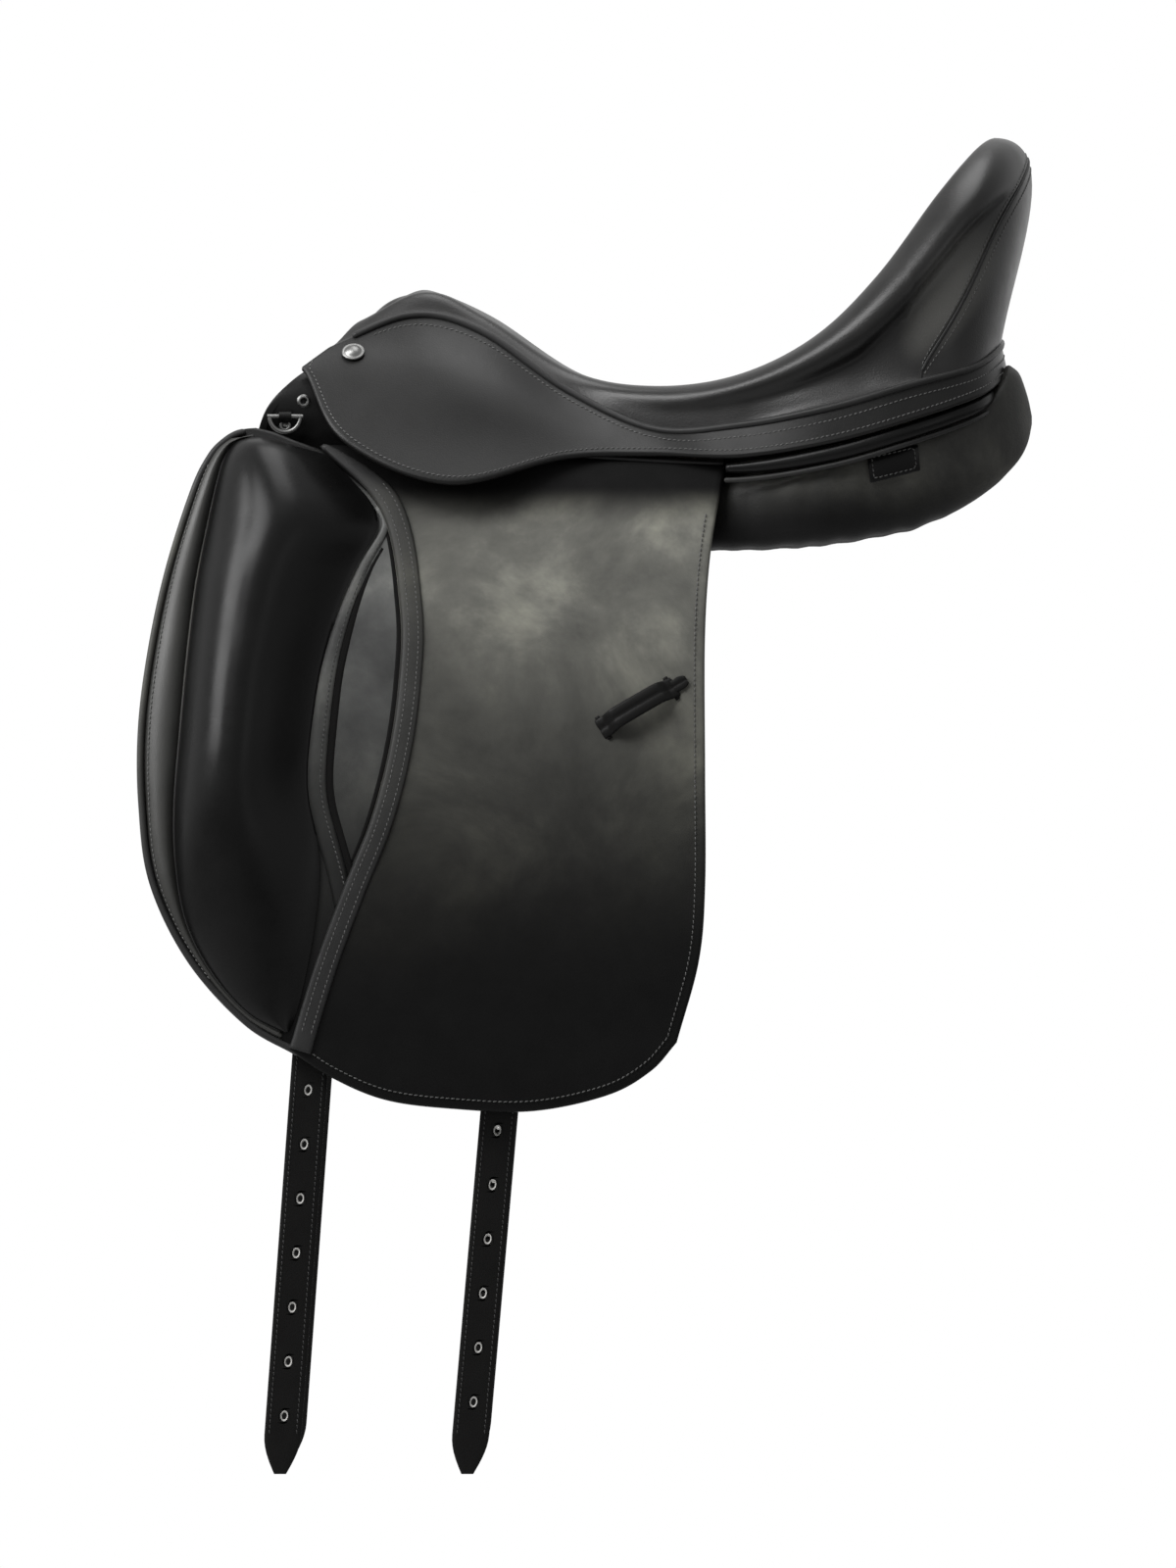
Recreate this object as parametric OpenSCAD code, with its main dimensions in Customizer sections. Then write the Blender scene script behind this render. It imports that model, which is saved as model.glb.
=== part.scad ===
// Dressage saddle with large front blocks and long girth straps.
// Frame: +X runs to the cantle, +Y to the off side, +Z up. The near (left) side has negative Y.
// The origin is on the centre plane, under the lowest part of the seat, level with the panels' bearing line.

/* [Seat] */
// Seat size, from the skirt's stud to the top of the cantle
seat_size = 445; // [425:5:470]
// Height of the pommel above the bearing line
pommel_h = 167; // [160:1:175]
// Height of the lowest part of the seat's rim
seat_h = 105; // [101:1:110]
// Height of the cantle
cantle_h = 267; // [250:1:285]
// Width of the pommel, welt to welt
pommel_w = 94; // [90:1:100]
// Width of the twist, welt to welt
twist_w = 138; // [132:1:146]
// Width of the seat at its widest, welt to welt
seat_w = 252; // [240:1:264]
// Depth of the dish in the middle of the seat
dish_d = 14; // [8:1:20]
// Thickness of the seat's leather
seat_leather_t = 2.2; // [1.6:0.2:3]
// Thickness of the seat's foam
foam_t = 21; // [17:1:23]
// Thickness of the tree's shell
tree_t = 7; // [5:1:8]
// Radius of the piping along the seat
welt_r = 2.4; // [1.8:0.2:3]

/* [Skirts] */
// Thickness of the skirts' leather
skirt_t = 4; // [3:0.5:5]
// Height of the skirt's lowest point above the bearing line
skirt_low_z = 42; // [38:1:50]
// Half-width of the saddle at the skirt's lowest point
skirt_low_s = 128; // [126:1:134]
// Swell of the skirt over the stirrup bar
skirt_swell = 7; // [5:1:10]
// Diameter of the stud on each skirt
stud_d = 15; // [10:1:18]

/* [Flaps] */
// Depth of the flap below the bearing line
flap_drop = 362; // [340:2:390]
// Width of the flap with its block, front to rear
flap_w = 365; // [350:1:385]
// Rear edge of the flap, from the origin
flap_rear_x = 23; // [15:1:30]
// Half-width of the saddle at the fold of the flap
fold_s = 98; // [96:1:102]
// Half-width of the saddle at the flap's lower edge
flap_low_s = 190; // [180:1:205]
// How far the flap's front edge curves in
toe_in = 14; // [6:1:20]
// Thickness of the flap's leather
flap_t = 4; // [3:0.5:5]
// Thickness of the front base under the block
base_t = 3.6; // [2.6:0.2:4.2]
// Height of the block above the flap
block_h = 46; // [30:1:56]
// Width of the binding on the flap's front edge
binding_w = 13; // [9:1:18]
// Thickness of the sweat flap
sweat_t = 3; // [2:0.5:4]

/* [Panels] */
// Width of the gullet between the panels
gullet_w = 72; // [64:1:80]
// Depth of the rear panel below the seat's band
panel_d = 58; // [52:1:62]
// Rear end of the panels behind the cantle's top
panel_overhang = 17; // [10:1:24]

/* [Girth straps] */
// Width of a girth strap
billet_w = 24; // [20:1:28]
// Thickness of a girth strap
billet_t = 4.4; // [3:0.2:5]
// Lowest point of the straps below the bearing line
billet_drop = 598; // [560:2:640]
// Diameter of a strap hole
hole_d = 4.6; // [3.6:0.2:5.6]
// Distance between strap holes
hole_pitch = 35; // [25:1:38]
// Number of holes in a strap
hole_count = 6; // [4:1:6]

/* [Stirrup bars] */
// Diameter of a stirrup bar
bar_d = 9; // [8:0.5:10]
// Length of a stirrup bar that takes the leather
bar_len = 48; // [40:1:54]
// Gap between a stirrup bar and its plate
bar_gap = 7; // [6:0.5:8]
// Thickness of a stirrup bar's plate
plate_t = 3; // [2.5:0.5:4]

/* [Dees and keepers] */
// Thickness of a dee's wire
dee_wire = 3; // [2.4:0.2:3.6]
// Width of a dee inside
dee_in = 17; // [16:1:19]
// Length of a stirrup leather keeper
keeper_len = 54; // [46:1:60]
// Width of a keeper
keeper_w = 14; // [10:1:18]
// Thickness of a keeper's leather
keeper_t = 2.4; // [1.8:0.2:3]
// Room under a keeper for the stirrup leather
keeper_gap = 6.2; // [5.8:0.2:8]

/* [Hidden] */
$fn = 40;
eps = 0.01;
// Clearance between layers that lie on each other
layer_gap = 0.3;

// Mixes, curves and directions
function lerp(a, b, f) = a + (b - a) * f;
function unit(v) = v / norm(v);
function clamp01(x) = max(0, min(1, x));
function smooth01(x) = let (c = clamp01(x)) c * c * (3 - 2 * c);
function bezier(a, b, c, d, f) =
    let (g = 1 - f) a * g * g * g + b * 3 * g * g * f + c * 3 * g * f * f + d * f * f * f;
// A smooth curve through the points of a list, at t from 0 to one less than their number
function curve(points, t) =
    let (last = len(points) - 1, i = max(0, min(last - 1, floor(t))), f = t - i,
        b = points[i], c = points[i + 1],
        a = i == 0 ? 2 * b - c : points[i - 1],
        d = i + 2 > last ? 2 * c - b : points[i + 2])
    (2 * b + (c - a) * f + (2 * a - 5 * b + 4 * c - d) * f * f + (3 * b - a - 3 * c + d) * f * f * f) / 2;
function along(points, f) = curve(points, f * (len(points) - 1));
function steps(from, to, count) = [for (i = [0:count]) lerp(from, to, i / count)];

// Solids from grids of points
function flat_list(grid) = [for (row = grid) each row];
function grid_faces(n, m, first, flip) =
    [for (i = [0:n - 2], j = [0:m - 2])
        let (a = first + i * m + j, b = a + 1, c = a + m, d = c + 1)
        each (flip ? [[a, b, c], [b, d, c]] : [[a, c, b], [b, c, d]])];
// Walls between two loops of point numbers, from one sheet to the other
function wall_faces(upper, lower) =
    [for (k = [0:len(upper) - 2])
        each [[upper[k], upper[k + 1], lower[k]], [upper[k + 1], lower[k + 1], lower[k]]]];
function rim_loop(n, m, first) = concat(
    [for (j = [0:m - 1]) first + j],
    [for (i = [1:n - 1]) first + i * m + m - 1],
    [for (j = [m - 2:-1:0]) first + (n - 1) * m + j],
    [for (i = [n - 2:-1:0]) first + i * m]);
// A closed sheet between two grids of the same size; outer is the grid away from the horse
module sheet(outer, inner) {
    n = len(outer);
    m = len(outer[0]);
    polyhedron(concat(flat_list(outer), flat_list(inner)), concat(
        grid_faces(n, m, 0, false), grid_faces(n, m, n * m, true),
        wall_faces(rim_loop(n, m, 0), rim_loop(n, m, n * m))));
}
// A closed skin through rings of points, with flat or pointed ends
module skin(rings) {
    n = len(rings);
    m = len(rings[0]);
    points = concat(flat_list(rings), [mean(rings[0]), mean(rings[n - 1])]);
    polyhedron(points, concat(
        [for (i = [0:n - 2], j = [0:m - 1])
            let (a = i * m + j, b = i * m + (j + 1) % m, c = a + m, d = b + m)
            each [[a, c, b], [b, c, d]]],
        [for (j = [0:m - 1]) [n * m, j, (j + 1) % m]],
        [for (j = [0:m - 1]) let (e = (n - 1) * m) [n * m + 1, e + (j + 1) % m, e + j]]));
}
function mean(list) = [for (k = [0:2]) [for (p = list) p[k]] * [for (p = list) 1] / len(list)];
// Rings of an oval tube along a path, its long half-axis lying as near upright as the path allows
function tube_rings(path, half_wide, half_tall, sides) =
    [for (i = [0:len(path) - 1])
        let (ahead = unit(path[min(i + 1, len(path) - 1)] - path[max(i - 1, 0)]),
            wide = unit(cross([0, 0, 1], ahead)), tall = cross(ahead, wide))
        [for (k = [0:sides - 1])
            path[i] + wide * half_wide * cos(360 * k / sides) + tall * half_tall * sin(360 * k / sides)]];
// Draws the near side, or mirrors it to the off side
module side(right) mirror([0, right ? 1 : 0, 0]) children();
// A point [x, s, z] with s measured outwards becomes a point on the near side
function near(p) = [p[0], -p[1], p[2]];
function near_grid(grid) = [for (row = grid) [for (p = row) near(p)]];
function shift_grid(grid, ds) = [for (row = grid) [for (p = row) p + [0, ds, 0]]];

// Seat guides: the centre line, the rim and the welt, as [x, s, z] at eleven stations from pommel to cantle
stud_x = -204;
stud_z = pommel_h - 39;
pommel_x = -154;
twist_x = -60;
cantle_x = stud_x + sqrt(seat_size * seat_size - (cantle_h - stud_z) * (cantle_h - stud_z));
function rear_x(q) = lerp(twist_x, cantle_x, q);
function front_z(f) = lerp(seat_h, pommel_h, f);
function back_z(f) = lerp(seat_h, cantle_h, f);
half_p = pommel_w / 2;
half_t = twist_w / 2;
half_s = seat_w / 2;
centre_line = [
    [pommel_x - 12, 0, pommel_h - 2], [pommel_x + 2, 0, pommel_h + 0.5], [-112, 0, front_z(0.73)],
    [twist_x + 2, 0, front_z(0.16)], [rear_x(0.19), 0, seat_h - 0.36 * dish_d],
    [rear_x(0.365), 0, seat_h - 0.65 * dish_d], [rear_x(0.494), 0, seat_h - 0.36 * dish_d],
    [rear_x(0.565), 0, seat_h + 1], [rear_x(0.61), 0, seat_h + 6], [rear_x(0.634), 0, seat_h + 9],
    [rear_x(0.645), 0, seat_h + 10]];
rim_line = [
    [pommel_x - 36, 0.66 * half_p, pommel_h - 14], [pommel_x - 2, 0.6 * half_p, pommel_h - 1],
    [-116, lerp(half_p, half_t, 0.18) - 17, front_z(0.72)], [twist_x, half_t - 19, front_z(0.155)],
    [rear_x(0.186), lerp(half_t, half_s, 0.37) - 18, seat_h],
    [rear_x(0.379), lerp(half_t, half_s, 0.72) - 19, seat_h + 7],
    [rear_x(0.558), half_s - 24, back_z(0.195)], [rear_x(0.709), half_s - 26, back_z(0.444)],
    [rear_x(0.852), 0.635 * half_s, back_z(0.772)], [rear_x(0.941), 0.365 * half_s, back_z(0.951)],
    [rear_x(0.98), 0, cantle_h]];
welt_line = [
    [stud_x - 13, half_p + 14, stud_z + 3], [pommel_x - 12, half_p, pommel_h - 16],
    [-121, lerp(half_p, half_t, 0.18), pommel_h - 26], [twist_x - 4, half_t, seat_h - 3],
    [rear_x(0.186), lerp(half_t, half_s, 0.37), seat_h - 28],
    [rear_x(0.379), lerp(half_t, half_s, 0.72), seat_h - 26], [rear_x(0.59), half_s, seat_h - 15],
    [rear_x(0.78), 0.985 * half_s, seat_h], [rear_x(0.923), 0.785 * half_s, seat_h + 11],
    [rear_x(0.984), 0.445 * half_s, seat_h + 23], [rear_x(0.995), 0, seat_h + 29]];
last = len(welt_line) - 1;
roll_in = 18;
roll_out = [10, 12, 13, 15, 17, 19, 23, 29, 37, 44, 48];
flare = [10, 9, 10, 12, 15, 17, 18, 14, 4, -6, -8];
lift = [0.1, 0, 0, 0, 0, 0, 0.05, 0.12, 0.24, 0.33, 0.35];
// How a layer at some depth under the seat's skin lies inside the rim and the welt
rim_share = [0.55, 0.55, 0.55, 0.55, 0.55, 0.55, 0.5, 0.4, 0.25, 0.15, 0.1];
rim_drop = [1, 1, 1, 1, 1, 1, 1.05, 1.15, 1.3, 1.38, 1.4];
welt_share_out = 0.8;
welt_share_down = 0.6;
function outward(t) = let (w = curve(welt_line, t), c = curve(centre_line, t)) unit([w[0] - c[0], w[1], 0]);
function seat_centre(t, depth) = curve(centre_line, t) - [0, 0, depth];
function seat_rim(t, depth) =
    curve(rim_line, t) - outward(t) * curve(rim_share, t) * depth - [0, 0, curve(rim_drop, t) * depth];
function seat_welt_point(t, depth) =
    curve(welt_line, t) - outward(t) * welt_share_out * depth - [0, 0, welt_share_down * depth];
// A point of the seat at station t: v is 0 on the centre line, 1 on the rim and 2 at the welt
function seat_point(t, v, depth) =
    let (c = seat_centre(t, depth), r = seat_rim(t, depth), w = seat_welt_point(t, depth), o = outward(t),
        level = unit([r[0] - c[0], r[1] - c[1], 0]), reach = norm([r[0] - c[0], r[1] - c[1]]))
    v <= 1
        ? bezier(c, c + level * reach * 0.45, r - o * min(roll_in, reach * 0.4), r, v)
        : bezier(r, r + o * curve(roll_out, t) * (1 - depth / 60), w - o * curve(flare, t)
            + [0, 0, curve(lift, t) * (r[2] - w[2])], w, v - 1);
function seat_grid(stations, vs, depth) = [for (t = stations) [for (v = vs) seat_point(t, v, depth)]];
// Two mirrored halves of a shell that meet on the centre plane, at the rear end, or both
module paired_shell(outer, inner, meet_centre, meet_rear) {
    n = len(outer);
    m = len(outer[0]);
    o = n * m;
    upper = [for (j = [m - 1:-1:0]) j];
    front_rim = upper;
    inner_rim = meet_centre ? [0] : [for (i = [0:n - 1]) i * m];
    rear_rim = meet_rear ? [] : [for (j = [0:m - 1]) (n - 1) * m + j];
    outer_rim = [for (i = [n - 1:-1:0]) i * m + m - 1];
    walls = concat(wall_list(front_rim, o), wall_list(inner_rim, o), wall_list(rear_rim, o),
        wall_list(outer_rim, o));
    half = concat(grid_faces(n, m, 0, true), grid_faces(n, m, o, false), walls);
    left = concat(flat_list(near_grid(outer)), flat_list(near_grid(inner)));
    right = concat(flat_list(outer), flat_list(inner));
    polyhedron(concat(left, right),
        concat([for (f = half) [f[2], f[1], f[0]]], [for (f = half) [for (k = f) k + 2 * o]]));
}
function wall_list(loop, o) =
    len(loop) < 2 ? [] :
    [for (k = [0:len(loop) - 2])
        each [[loop[k], loop[k + 1], loop[k] + o], [loop[k + 1], loop[k + 1] + o, loop[k] + o]]];

// Skirt: from the welt over a straight fold line to the lower edge
skirt_edge = [
    [stud_x - 31, half_p + 30, stud_z - 11], [stud_x - 1, skirt_low_s - 19, skirt_low_z + 26],
    [-140, skirt_low_s, skirt_low_z], [twist_x - 6, half_t + 41, seat_h - 46.5],
    [rear_x(0.193), lerp(half_t, half_s, 0.37) + 17, seat_h - 44],
    [rear_x(0.386), lerp(half_t, half_s, 0.72) + 10, seat_h - 46], [rear_x(0.6), half_s + 6, seat_h - 37],
    [rear_x(0.79), 0.985 * half_s + 7, seat_h - 22], [rear_x(0.941), 0.785 * half_s + 8, seat_h - 7],
    [rear_x(1.028), 0.445 * half_s + 5, seat_h + 4], [rear_x(1.045), 0, seat_h + 8]];
lobe_end = 3.6;
function skirt_low(t) = curve(skirt_edge, t);
fold_a = lerp(curve(welt_line, 0), skirt_low(0), 0.86);
fold_b = lerp(curve(welt_line, lobe_end), skirt_low(lobe_end), 0.6);
function skirt_fold(t) =
    t <= lobe_end ? lerp(fold_a, fold_b, t / lobe_end) : lerp(curve(welt_line, t), skirt_low(t), 0.6);
function swell(t) = skirt_swell * smooth01(t) * smooth01((3.4 - t) / 1.2);
// w is 0 at the welt, 1 on the fold line and 2 at the lower edge
function skirt_point(t, w) =
    let (a = curve(welt_line, t), f = skirt_fold(t), l = skirt_low(t), o = outward(t))
    (w <= 1 ? lerp(a, f, w) : lerp(f, l, w - 1)) + o * swell(t) * pow(sin(180 * w), 2);
function skirt_start(t) = (welt_room + 0.8) / norm(skirt_fold(t) - curve(welt_line, t));
function skirt_grid(stations, ws) = [for (t = stations) [for (w = ws) skirt_point(t, w)]];
// The same grid moved towards the horse by the leather's thickness
function skirt_inside(grid, stations, t) =
    [for (i = [0:len(grid) - 1]) [for (p = grid[i]) p - outward(stations[i]) * t * 0.8 - [0, 0, t * 0.6]]];

// Flap: a surface that falls from the fold and hangs upright at its lower edge
front_x = flap_rear_x - flap_w;
fold_front = [-223, 66];
fold_rear = [flap_rear_x + 13, seat_h - 53];
toe_x = -180;
toe_fade = 120;
function flap_s(x, z) =
    let (f = max(0, (z + flap_drop) / (fold_front[1] + flap_drop)),
        toe = toe_in * pow(max(0, (toe_x - x) / (toe_x - front_x)), 2))
    flap_low_s - (flap_low_s - fold_s) * f * f - toe * smooth01((fold_front[1] - z) / toe_fade);
function on_flap(p, out) = [p[0], flap_s(p[0], p[1]) + out, p[1]];
// A patch between four edges, each a list of [x, z] points, as rows from the top edge to the bottom edge
function patch(top, bottom, front, rear, rows, columns) =
    [for (v = steps(0, 1, rows)) [for (u = steps(0, 1, columns))
        let (t = along(top, u), b = along(bottom, u), f = along(front, v), r = along(rear, v))
        lerp(t, b, v) + lerp(f, r, u) - lerp(lerp(top[0], top[len(top) - 1], u),
            lerp(bottom[0], bottom[len(bottom) - 1], u), v)]];
function lay(plan, out) = [for (row = plan) [for (p = row) on_flap(p, out)]];
function low(f) = -flap_drop * f;
// Across the flap's width: 0 at the front edge of the block, 1 at the rear edge of the flap
function across(f) = front_x + flap_w * f;
flap_foot = [across(0.274), low(0.893)];
flap_heel = [across(0.95), low(0.88)];
flap_front_edge = [fold_front, [across(0.445), 24], [across(0.483), low(0.11)], [across(0.48), low(0.245)],
    [across(0.462), low(0.37)], [across(0.43), low(0.49)], [across(0.382), low(0.608)],
    [across(0.327), low(0.75)], flap_foot];
flap_rear_edge = [fold_rear, [flap_rear_x + 4, 0], [flap_rear_x, low(0.16)], [flap_rear_x, low(0.4)],
    [flap_rear_x, low(0.6)], [flap_rear_x - 4, low(0.735)], flap_heel];
flap_low_edge = [flap_foot, [across(0.345), low(0.94)], [across(0.44), low(0.98)],
    [across(0.56), low(0.996)], [across(0.7), low(1)], [across(0.83), low(0.972)],
    [across(0.905), low(0.93)], flap_heel];
flap_top_edge = [fold_front, lerp(fold_front, fold_rear, 0.5), fold_rear];
flap_plan = patch(flap_top_edge, flap_low_edge, flap_front_edge, flap_rear_edge, 16, 10);
// Front base that carries the block, with its rear edge under the flap
base_top = [across(0.18), 78];
base_rear_top = [across(0.37), 58];
base_foot = [across(0.282), low(0.905)];
base_rear_foot = [across(0.36), low(0.93)];
base_front_edge = [base_top, [across(0.128), 64], [across(0.094), 38], [across(0.05), low(0.035)],
    [across(0.02), low(0.175)], [across(0.002), low(0.32)], [across(0.003), low(0.46)],
    [across(0.023), low(0.6)], [across(0.09), low(0.738)], [across(0.19), low(0.85)], base_foot];
base_rear_edge = [base_rear_top, [across(0.53), 10], [across(0.565), low(0.2)], [across(0.545), low(0.38)],
    [across(0.49), low(0.56)], [across(0.42), low(0.74)], base_rear_foot];
base_plan = patch([base_top, [across(0.28), 67], base_rear_top], [base_foot, base_rear_foot],
    base_front_edge, base_rear_edge, 14, 6);
base_out = -flap_t - layer_gap;
// Block outline, and its height over the base
block_top = [across(0.195), 74];
block_rear_top = [across(0.335), 60];
block_foot = [across(0.245), low(0.855)];
block_rear_foot = [across(0.262), low(0.86)];
block_front_edge = [block_top, [across(0.128), 40], [across(0.086), low(0.035)], [across(0.07), low(0.175)],
    [across(0.064), low(0.32)], [across(0.068), low(0.46)], [across(0.082), low(0.59)],
    [across(0.13), low(0.71)], [across(0.195), low(0.805)], block_foot];
block_rear_edge = [block_rear_top, [across(0.405), 22], [across(0.37), low(0.07)],
    [across(0.335), low(0.21)], [across(0.325), low(0.35)], [across(0.333), low(0.475)],
    [across(0.345), low(0.57)],
    [across(0.316), low(0.73)], block_rear_foot];
block_plan = patch([block_top, [across(0.26), 67], block_rear_top], [block_foot, block_rear_foot],
    block_front_edge, block_rear_edge, 18, 10);
block_rim = 2.4;
function block_rise(u) =
    u < 0.42 ? sin(90 * pow(u / 0.42, 0.7)) : pow(max(0, cos(90 * (u - 0.42) / 0.58)), 1.3);
function block_taper(v) = (0.42 + 0.58 * smooth01(v / 0.22)) * smooth01(v / 0.06 + 0.25)
    * (1 - 0.9 * smooth01((v - 0.5) / 0.5));
block_outside = [for (i = [0:18]) [for (j = [0:10])
    on_flap(block_plan[i][j], base_out + block_rim + block_h * block_rise(j / 10) * block_taper(i / 18))]];
// Sweat flap
sweat_out = -21;
sweat_front = [[-206, 30], [-216, low(0.2)], [-232, low(0.5)], [-214, low(0.8)]];
sweat_rear = [[-28, 34], [-30, low(0.2)], [-34, low(0.5)], [-52, low(0.8)]];
sweat_low = [[-214, low(0.8)], [-170, low(0.86)], [-100, low(0.86)], [-52, low(0.8)]];
sweat_plan = patch([[-206, 30], [-28, 34]], sweat_low, sweat_front, sweat_rear, 10, 6);

// Girth straps
billet_out = -13.5;
billet_top_z = 34;
front_billet_x = -203;
rear_billet_x = -73.5;
front_lean = 4.2;
rear_lean = 5;
tip_len = 26;
top_len = 9;
// First hole of the front and of the rear strap, below the bearing line; the front strap has one hole more
front_hole = flap_drop - 12;
rear_hole = flap_drop + 14;
function hole_step(first, count) = min(hole_pitch, (billet_drop - tip_len - first) / (count - 1));
function billet_x(x0, lean, z) = x0 - (billet_top_z - z) * tan(lean);
function billet_half(z) =
    let (f = clamp01((z + billet_drop) / tip_len), g = clamp01((billet_top_z - z) / top_len))
    billet_w / 2 * (0.3 + 0.7 * sin(90 * f)) * (0.35 + 0.65 * sin(90 * g));
billet_zs = concat([billet_top_z, billet_top_z - 4], steps(billet_top_z - top_len, -flap_drop, 11),
    steps(-flap_drop - 40, -billet_drop + tip_len, 4),
    [for (f = [0.7, 0.4, 0.15, 0]) -billet_drop + tip_len * f]);

// Panel sections: outer top, outer bottom, inner bottom and inner top corners as [s, z] at each x
half_g = gullet_w / 2;
band_low = seat_h - 44;
panel_sections = [
    [-254, [73, 55.5], [90, 18], [64, 28], [56, 55.3]],
    [-222, [76, 54], [99, -18], [half_g + 12, 32], [half_g + 6, 66]],
    [-150, [66, 50], [96, -26], [half_g + 6, 24], [half_g - 2, 70]],
    [twist_x, [80, 48], [96, -12], [half_g + 2, 16], [half_g, 54]],
    [20, [95, 46], [103, -7], [half_g, 12], [half_g, 50]],
    [rear_x(0.54), [half_s - 4, band_low - 6], [half_s - 8, band_low - panel_d - 8], [half_g, 14],
        [half_g + 2, 56]],
    [rear_x(0.75), [half_s - 3, band_low + 9], [half_s - 13, band_low - panel_d + 1], [half_g, 22],
        [half_g + 2, 70]],
    [rear_x(0.93), [0.82 * half_s, band_low + 26], [0.72 * half_s, band_low - panel_d + 20], [half_g, 36],
        [half_g + 2, 84]],
    [cantle_x + panel_overhang - 9, [0.54 * half_s, band_low + 38.8], [0.53 * half_s, band_low - 6],
        [half_g + 4, 58], [half_g + 6, 94]]];
panel_end = len(panel_sections) - 1;
panel_sharp = 3;
function power(x, p) = sign(x) * pow(abs(x), p);
// A point round the panel: a is 0 on the outer side and 90 on top, size is 1 on the skin
function panel_point(t, a, size) =
    let (row = [for (k = [0:4]) curve([for (r = panel_sections) r[k]], t)],
        u = 0.5 + 0.5 * size * power(cos(a), 2 / panel_sharp),
        v = 0.5 + 0.5 * size * power(sin(a), 2 / panel_sharp),
        q = lerp(lerp(row[3], row[2], u), lerp(row[4], row[1], u), v))
    [row[0], q[0], q[1]];
function panel_ring(t, size, x_shift) =
    [for (k = [0:17]) near(panel_point(t, -20 * k, size) + [x_shift, 0, 0])];
panel_rings = concat([panel_ring(0, 0.5, -10), panel_ring(0, 0.84, -6)],
    [for (t = steps(0, panel_end, 20)) panel_ring(t, 1, 0)],
    [panel_ring(panel_end, 0.84, 5), panel_ring(panel_end, 0.5, 9)]);

// Layers under the seat's skin, as depths
foam_top = seat_leather_t + layer_gap;
tree_top = foam_top + foam_t + 5 * layer_gap;
tree_low = tree_top + tree_t;
plate_top = tree_low + layer_gap;
head_plate_t = 3;
spring_t = 1.6;
web_t = 2;
// Wings of the tree's head: v from 2 to 3 runs from under the welt down to a level edge
wing_s = 73;
wing_z = 62;
wing_tilt = 55;
function tree_point(t, v, depth) =
    v <= 2 ? seat_point(t, v, depth) :
    let (w = seat_point(t, 2, depth), d = depth - tree_top)
    lerp(w, [w[0], wing_s - d * sin(wing_tilt), wing_z - d * cos(wing_tilt)], v - 2);
function tree_grid(stations, vs, depth) = [for (t = stations) [for (v = vs) tree_point(t, v, depth)]];
head_end = 2.3;

// Stirrup bar frame: local x runs to the rear, local z stands off the tree's wing
bar_x = -132;
plate_len = bar_len + 18;
plate_w = 22;
bar_lift = 13;
bar_stand = 2.2;
bar_r = bar_d / 2;
bar_axis = plate_t + bar_gap + bar_r;
hinge_x = plate_len / 2 - 3;
hinge_z = plate_t + 3.2;
pin_r = 1.5;
pin_fit = 0.25;
catch_w = 9;
lug_w = 4;
module on_wing() translate([bar_x, -wing_s, wing_z]) rotate([wing_tilt, 0, 0])
    translate([0, bar_lift, bar_stand]) children();

// Dee frame: local y is up, local z points away from the saddle
dee_at = [-247, 80, 85];
dee_r = dee_wire / 2;
dee_mid = (dee_in + dee_wire) / 2;
loop_fit = 0.3;
loop_t = 1.2;
dee_h = dee_r + loop_fit + loop_t + 0.4;
module on_facing(at) translate(near(at)) rotate([90, 0, 0]) children();

// Keeper frame: local x along the loop, local z off the flap
keeper_at = [-19, -104];
keeper_turn = 31;
module on_keeper() {
    rise = (flap_s(keeper_at[0], keeper_at[1] - 5) - flap_s(keeper_at[0], keeper_at[1] + 5)) / 10;
    translate(near(on_flap(keeper_at, 0.4))) rotate([90 - atan(rise), 0, 0]) rotate([0, 0, keeper_turn])
        children();
}

module leather() color([0.07, 0.07, 0.07]) children();
module steel() color([0.75, 0.75, 0.77]) children();
module timber() color([0.6, 0.5, 0.35]) children();
module cloth() color([0.35, 0.35, 0.33]) children();

// Seam between the seat's cover and the facing of the cantle's back, as v at each station
seam_start = 7.2;
welt_room = welt_r + 3 * layer_gap;
// Place along a rib where the leather stops short of the piping
function cover_end(t) =
    let (rise = curve(lift, t) * (curve(rim_line, t) - curve(welt_line, t))[2])
    2 - 0.45 * welt_room / norm([curve(flare, t), rise]);
function seam_v(t) =
    lerp(cover_end(t), 1.24, pow(clamp01((t - seam_start) / (last - seam_start)), 0.6));
// Stations and places along a rib that all layers of the seat share, so that they lie on each other
seat_rows = 22;
seat_stations = steps(0, last, seat_rows);
function from_row(k) = [for (i = [k:seat_rows]) seat_stations[i]];
function dish_vs() = steps(0, 1, 4);
function roll_vs(end) = [for (f = steps(0.2, 1, 4)) lerp(1, end, f)];
module seat_cover() leather() {
    grid = function (depth) [for (t = seat_stations)
        let (end = seam_v(t) - (t > seam_start ? 0.012 : 0))
        [for (v = concat(dish_vs(), roll_vs(end))) seat_point(t, v, depth)]];
    paired_shell(grid(0), grid(seat_leather_t), true, true);
}
module cantle_facing() leather() {
    grid = function (depth) [for (t = steps(seam_start + 0.12, last, 6))
        [for (f = steps(0, 1, 4)) seat_point(t, lerp(seam_v(t) + 0.012, cover_end(t), f), depth)]];
    paired_shell(grid(0), grid(seat_leather_t), false, true);
}
module seat_foam() cloth() {
    grid = function (depth) [for (t = from_row(1))
        let (side_vs = [for (f = steps(0.2, 0.8, 3)) lerp(1, seam_v(t), f)])
        [for (v = concat(dish_vs(), side_vs)) seat_point(t, v, depth)]];
    paired_shell(grid(foam_top), grid(foam_top + foam_t), true, true);
}
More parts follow.
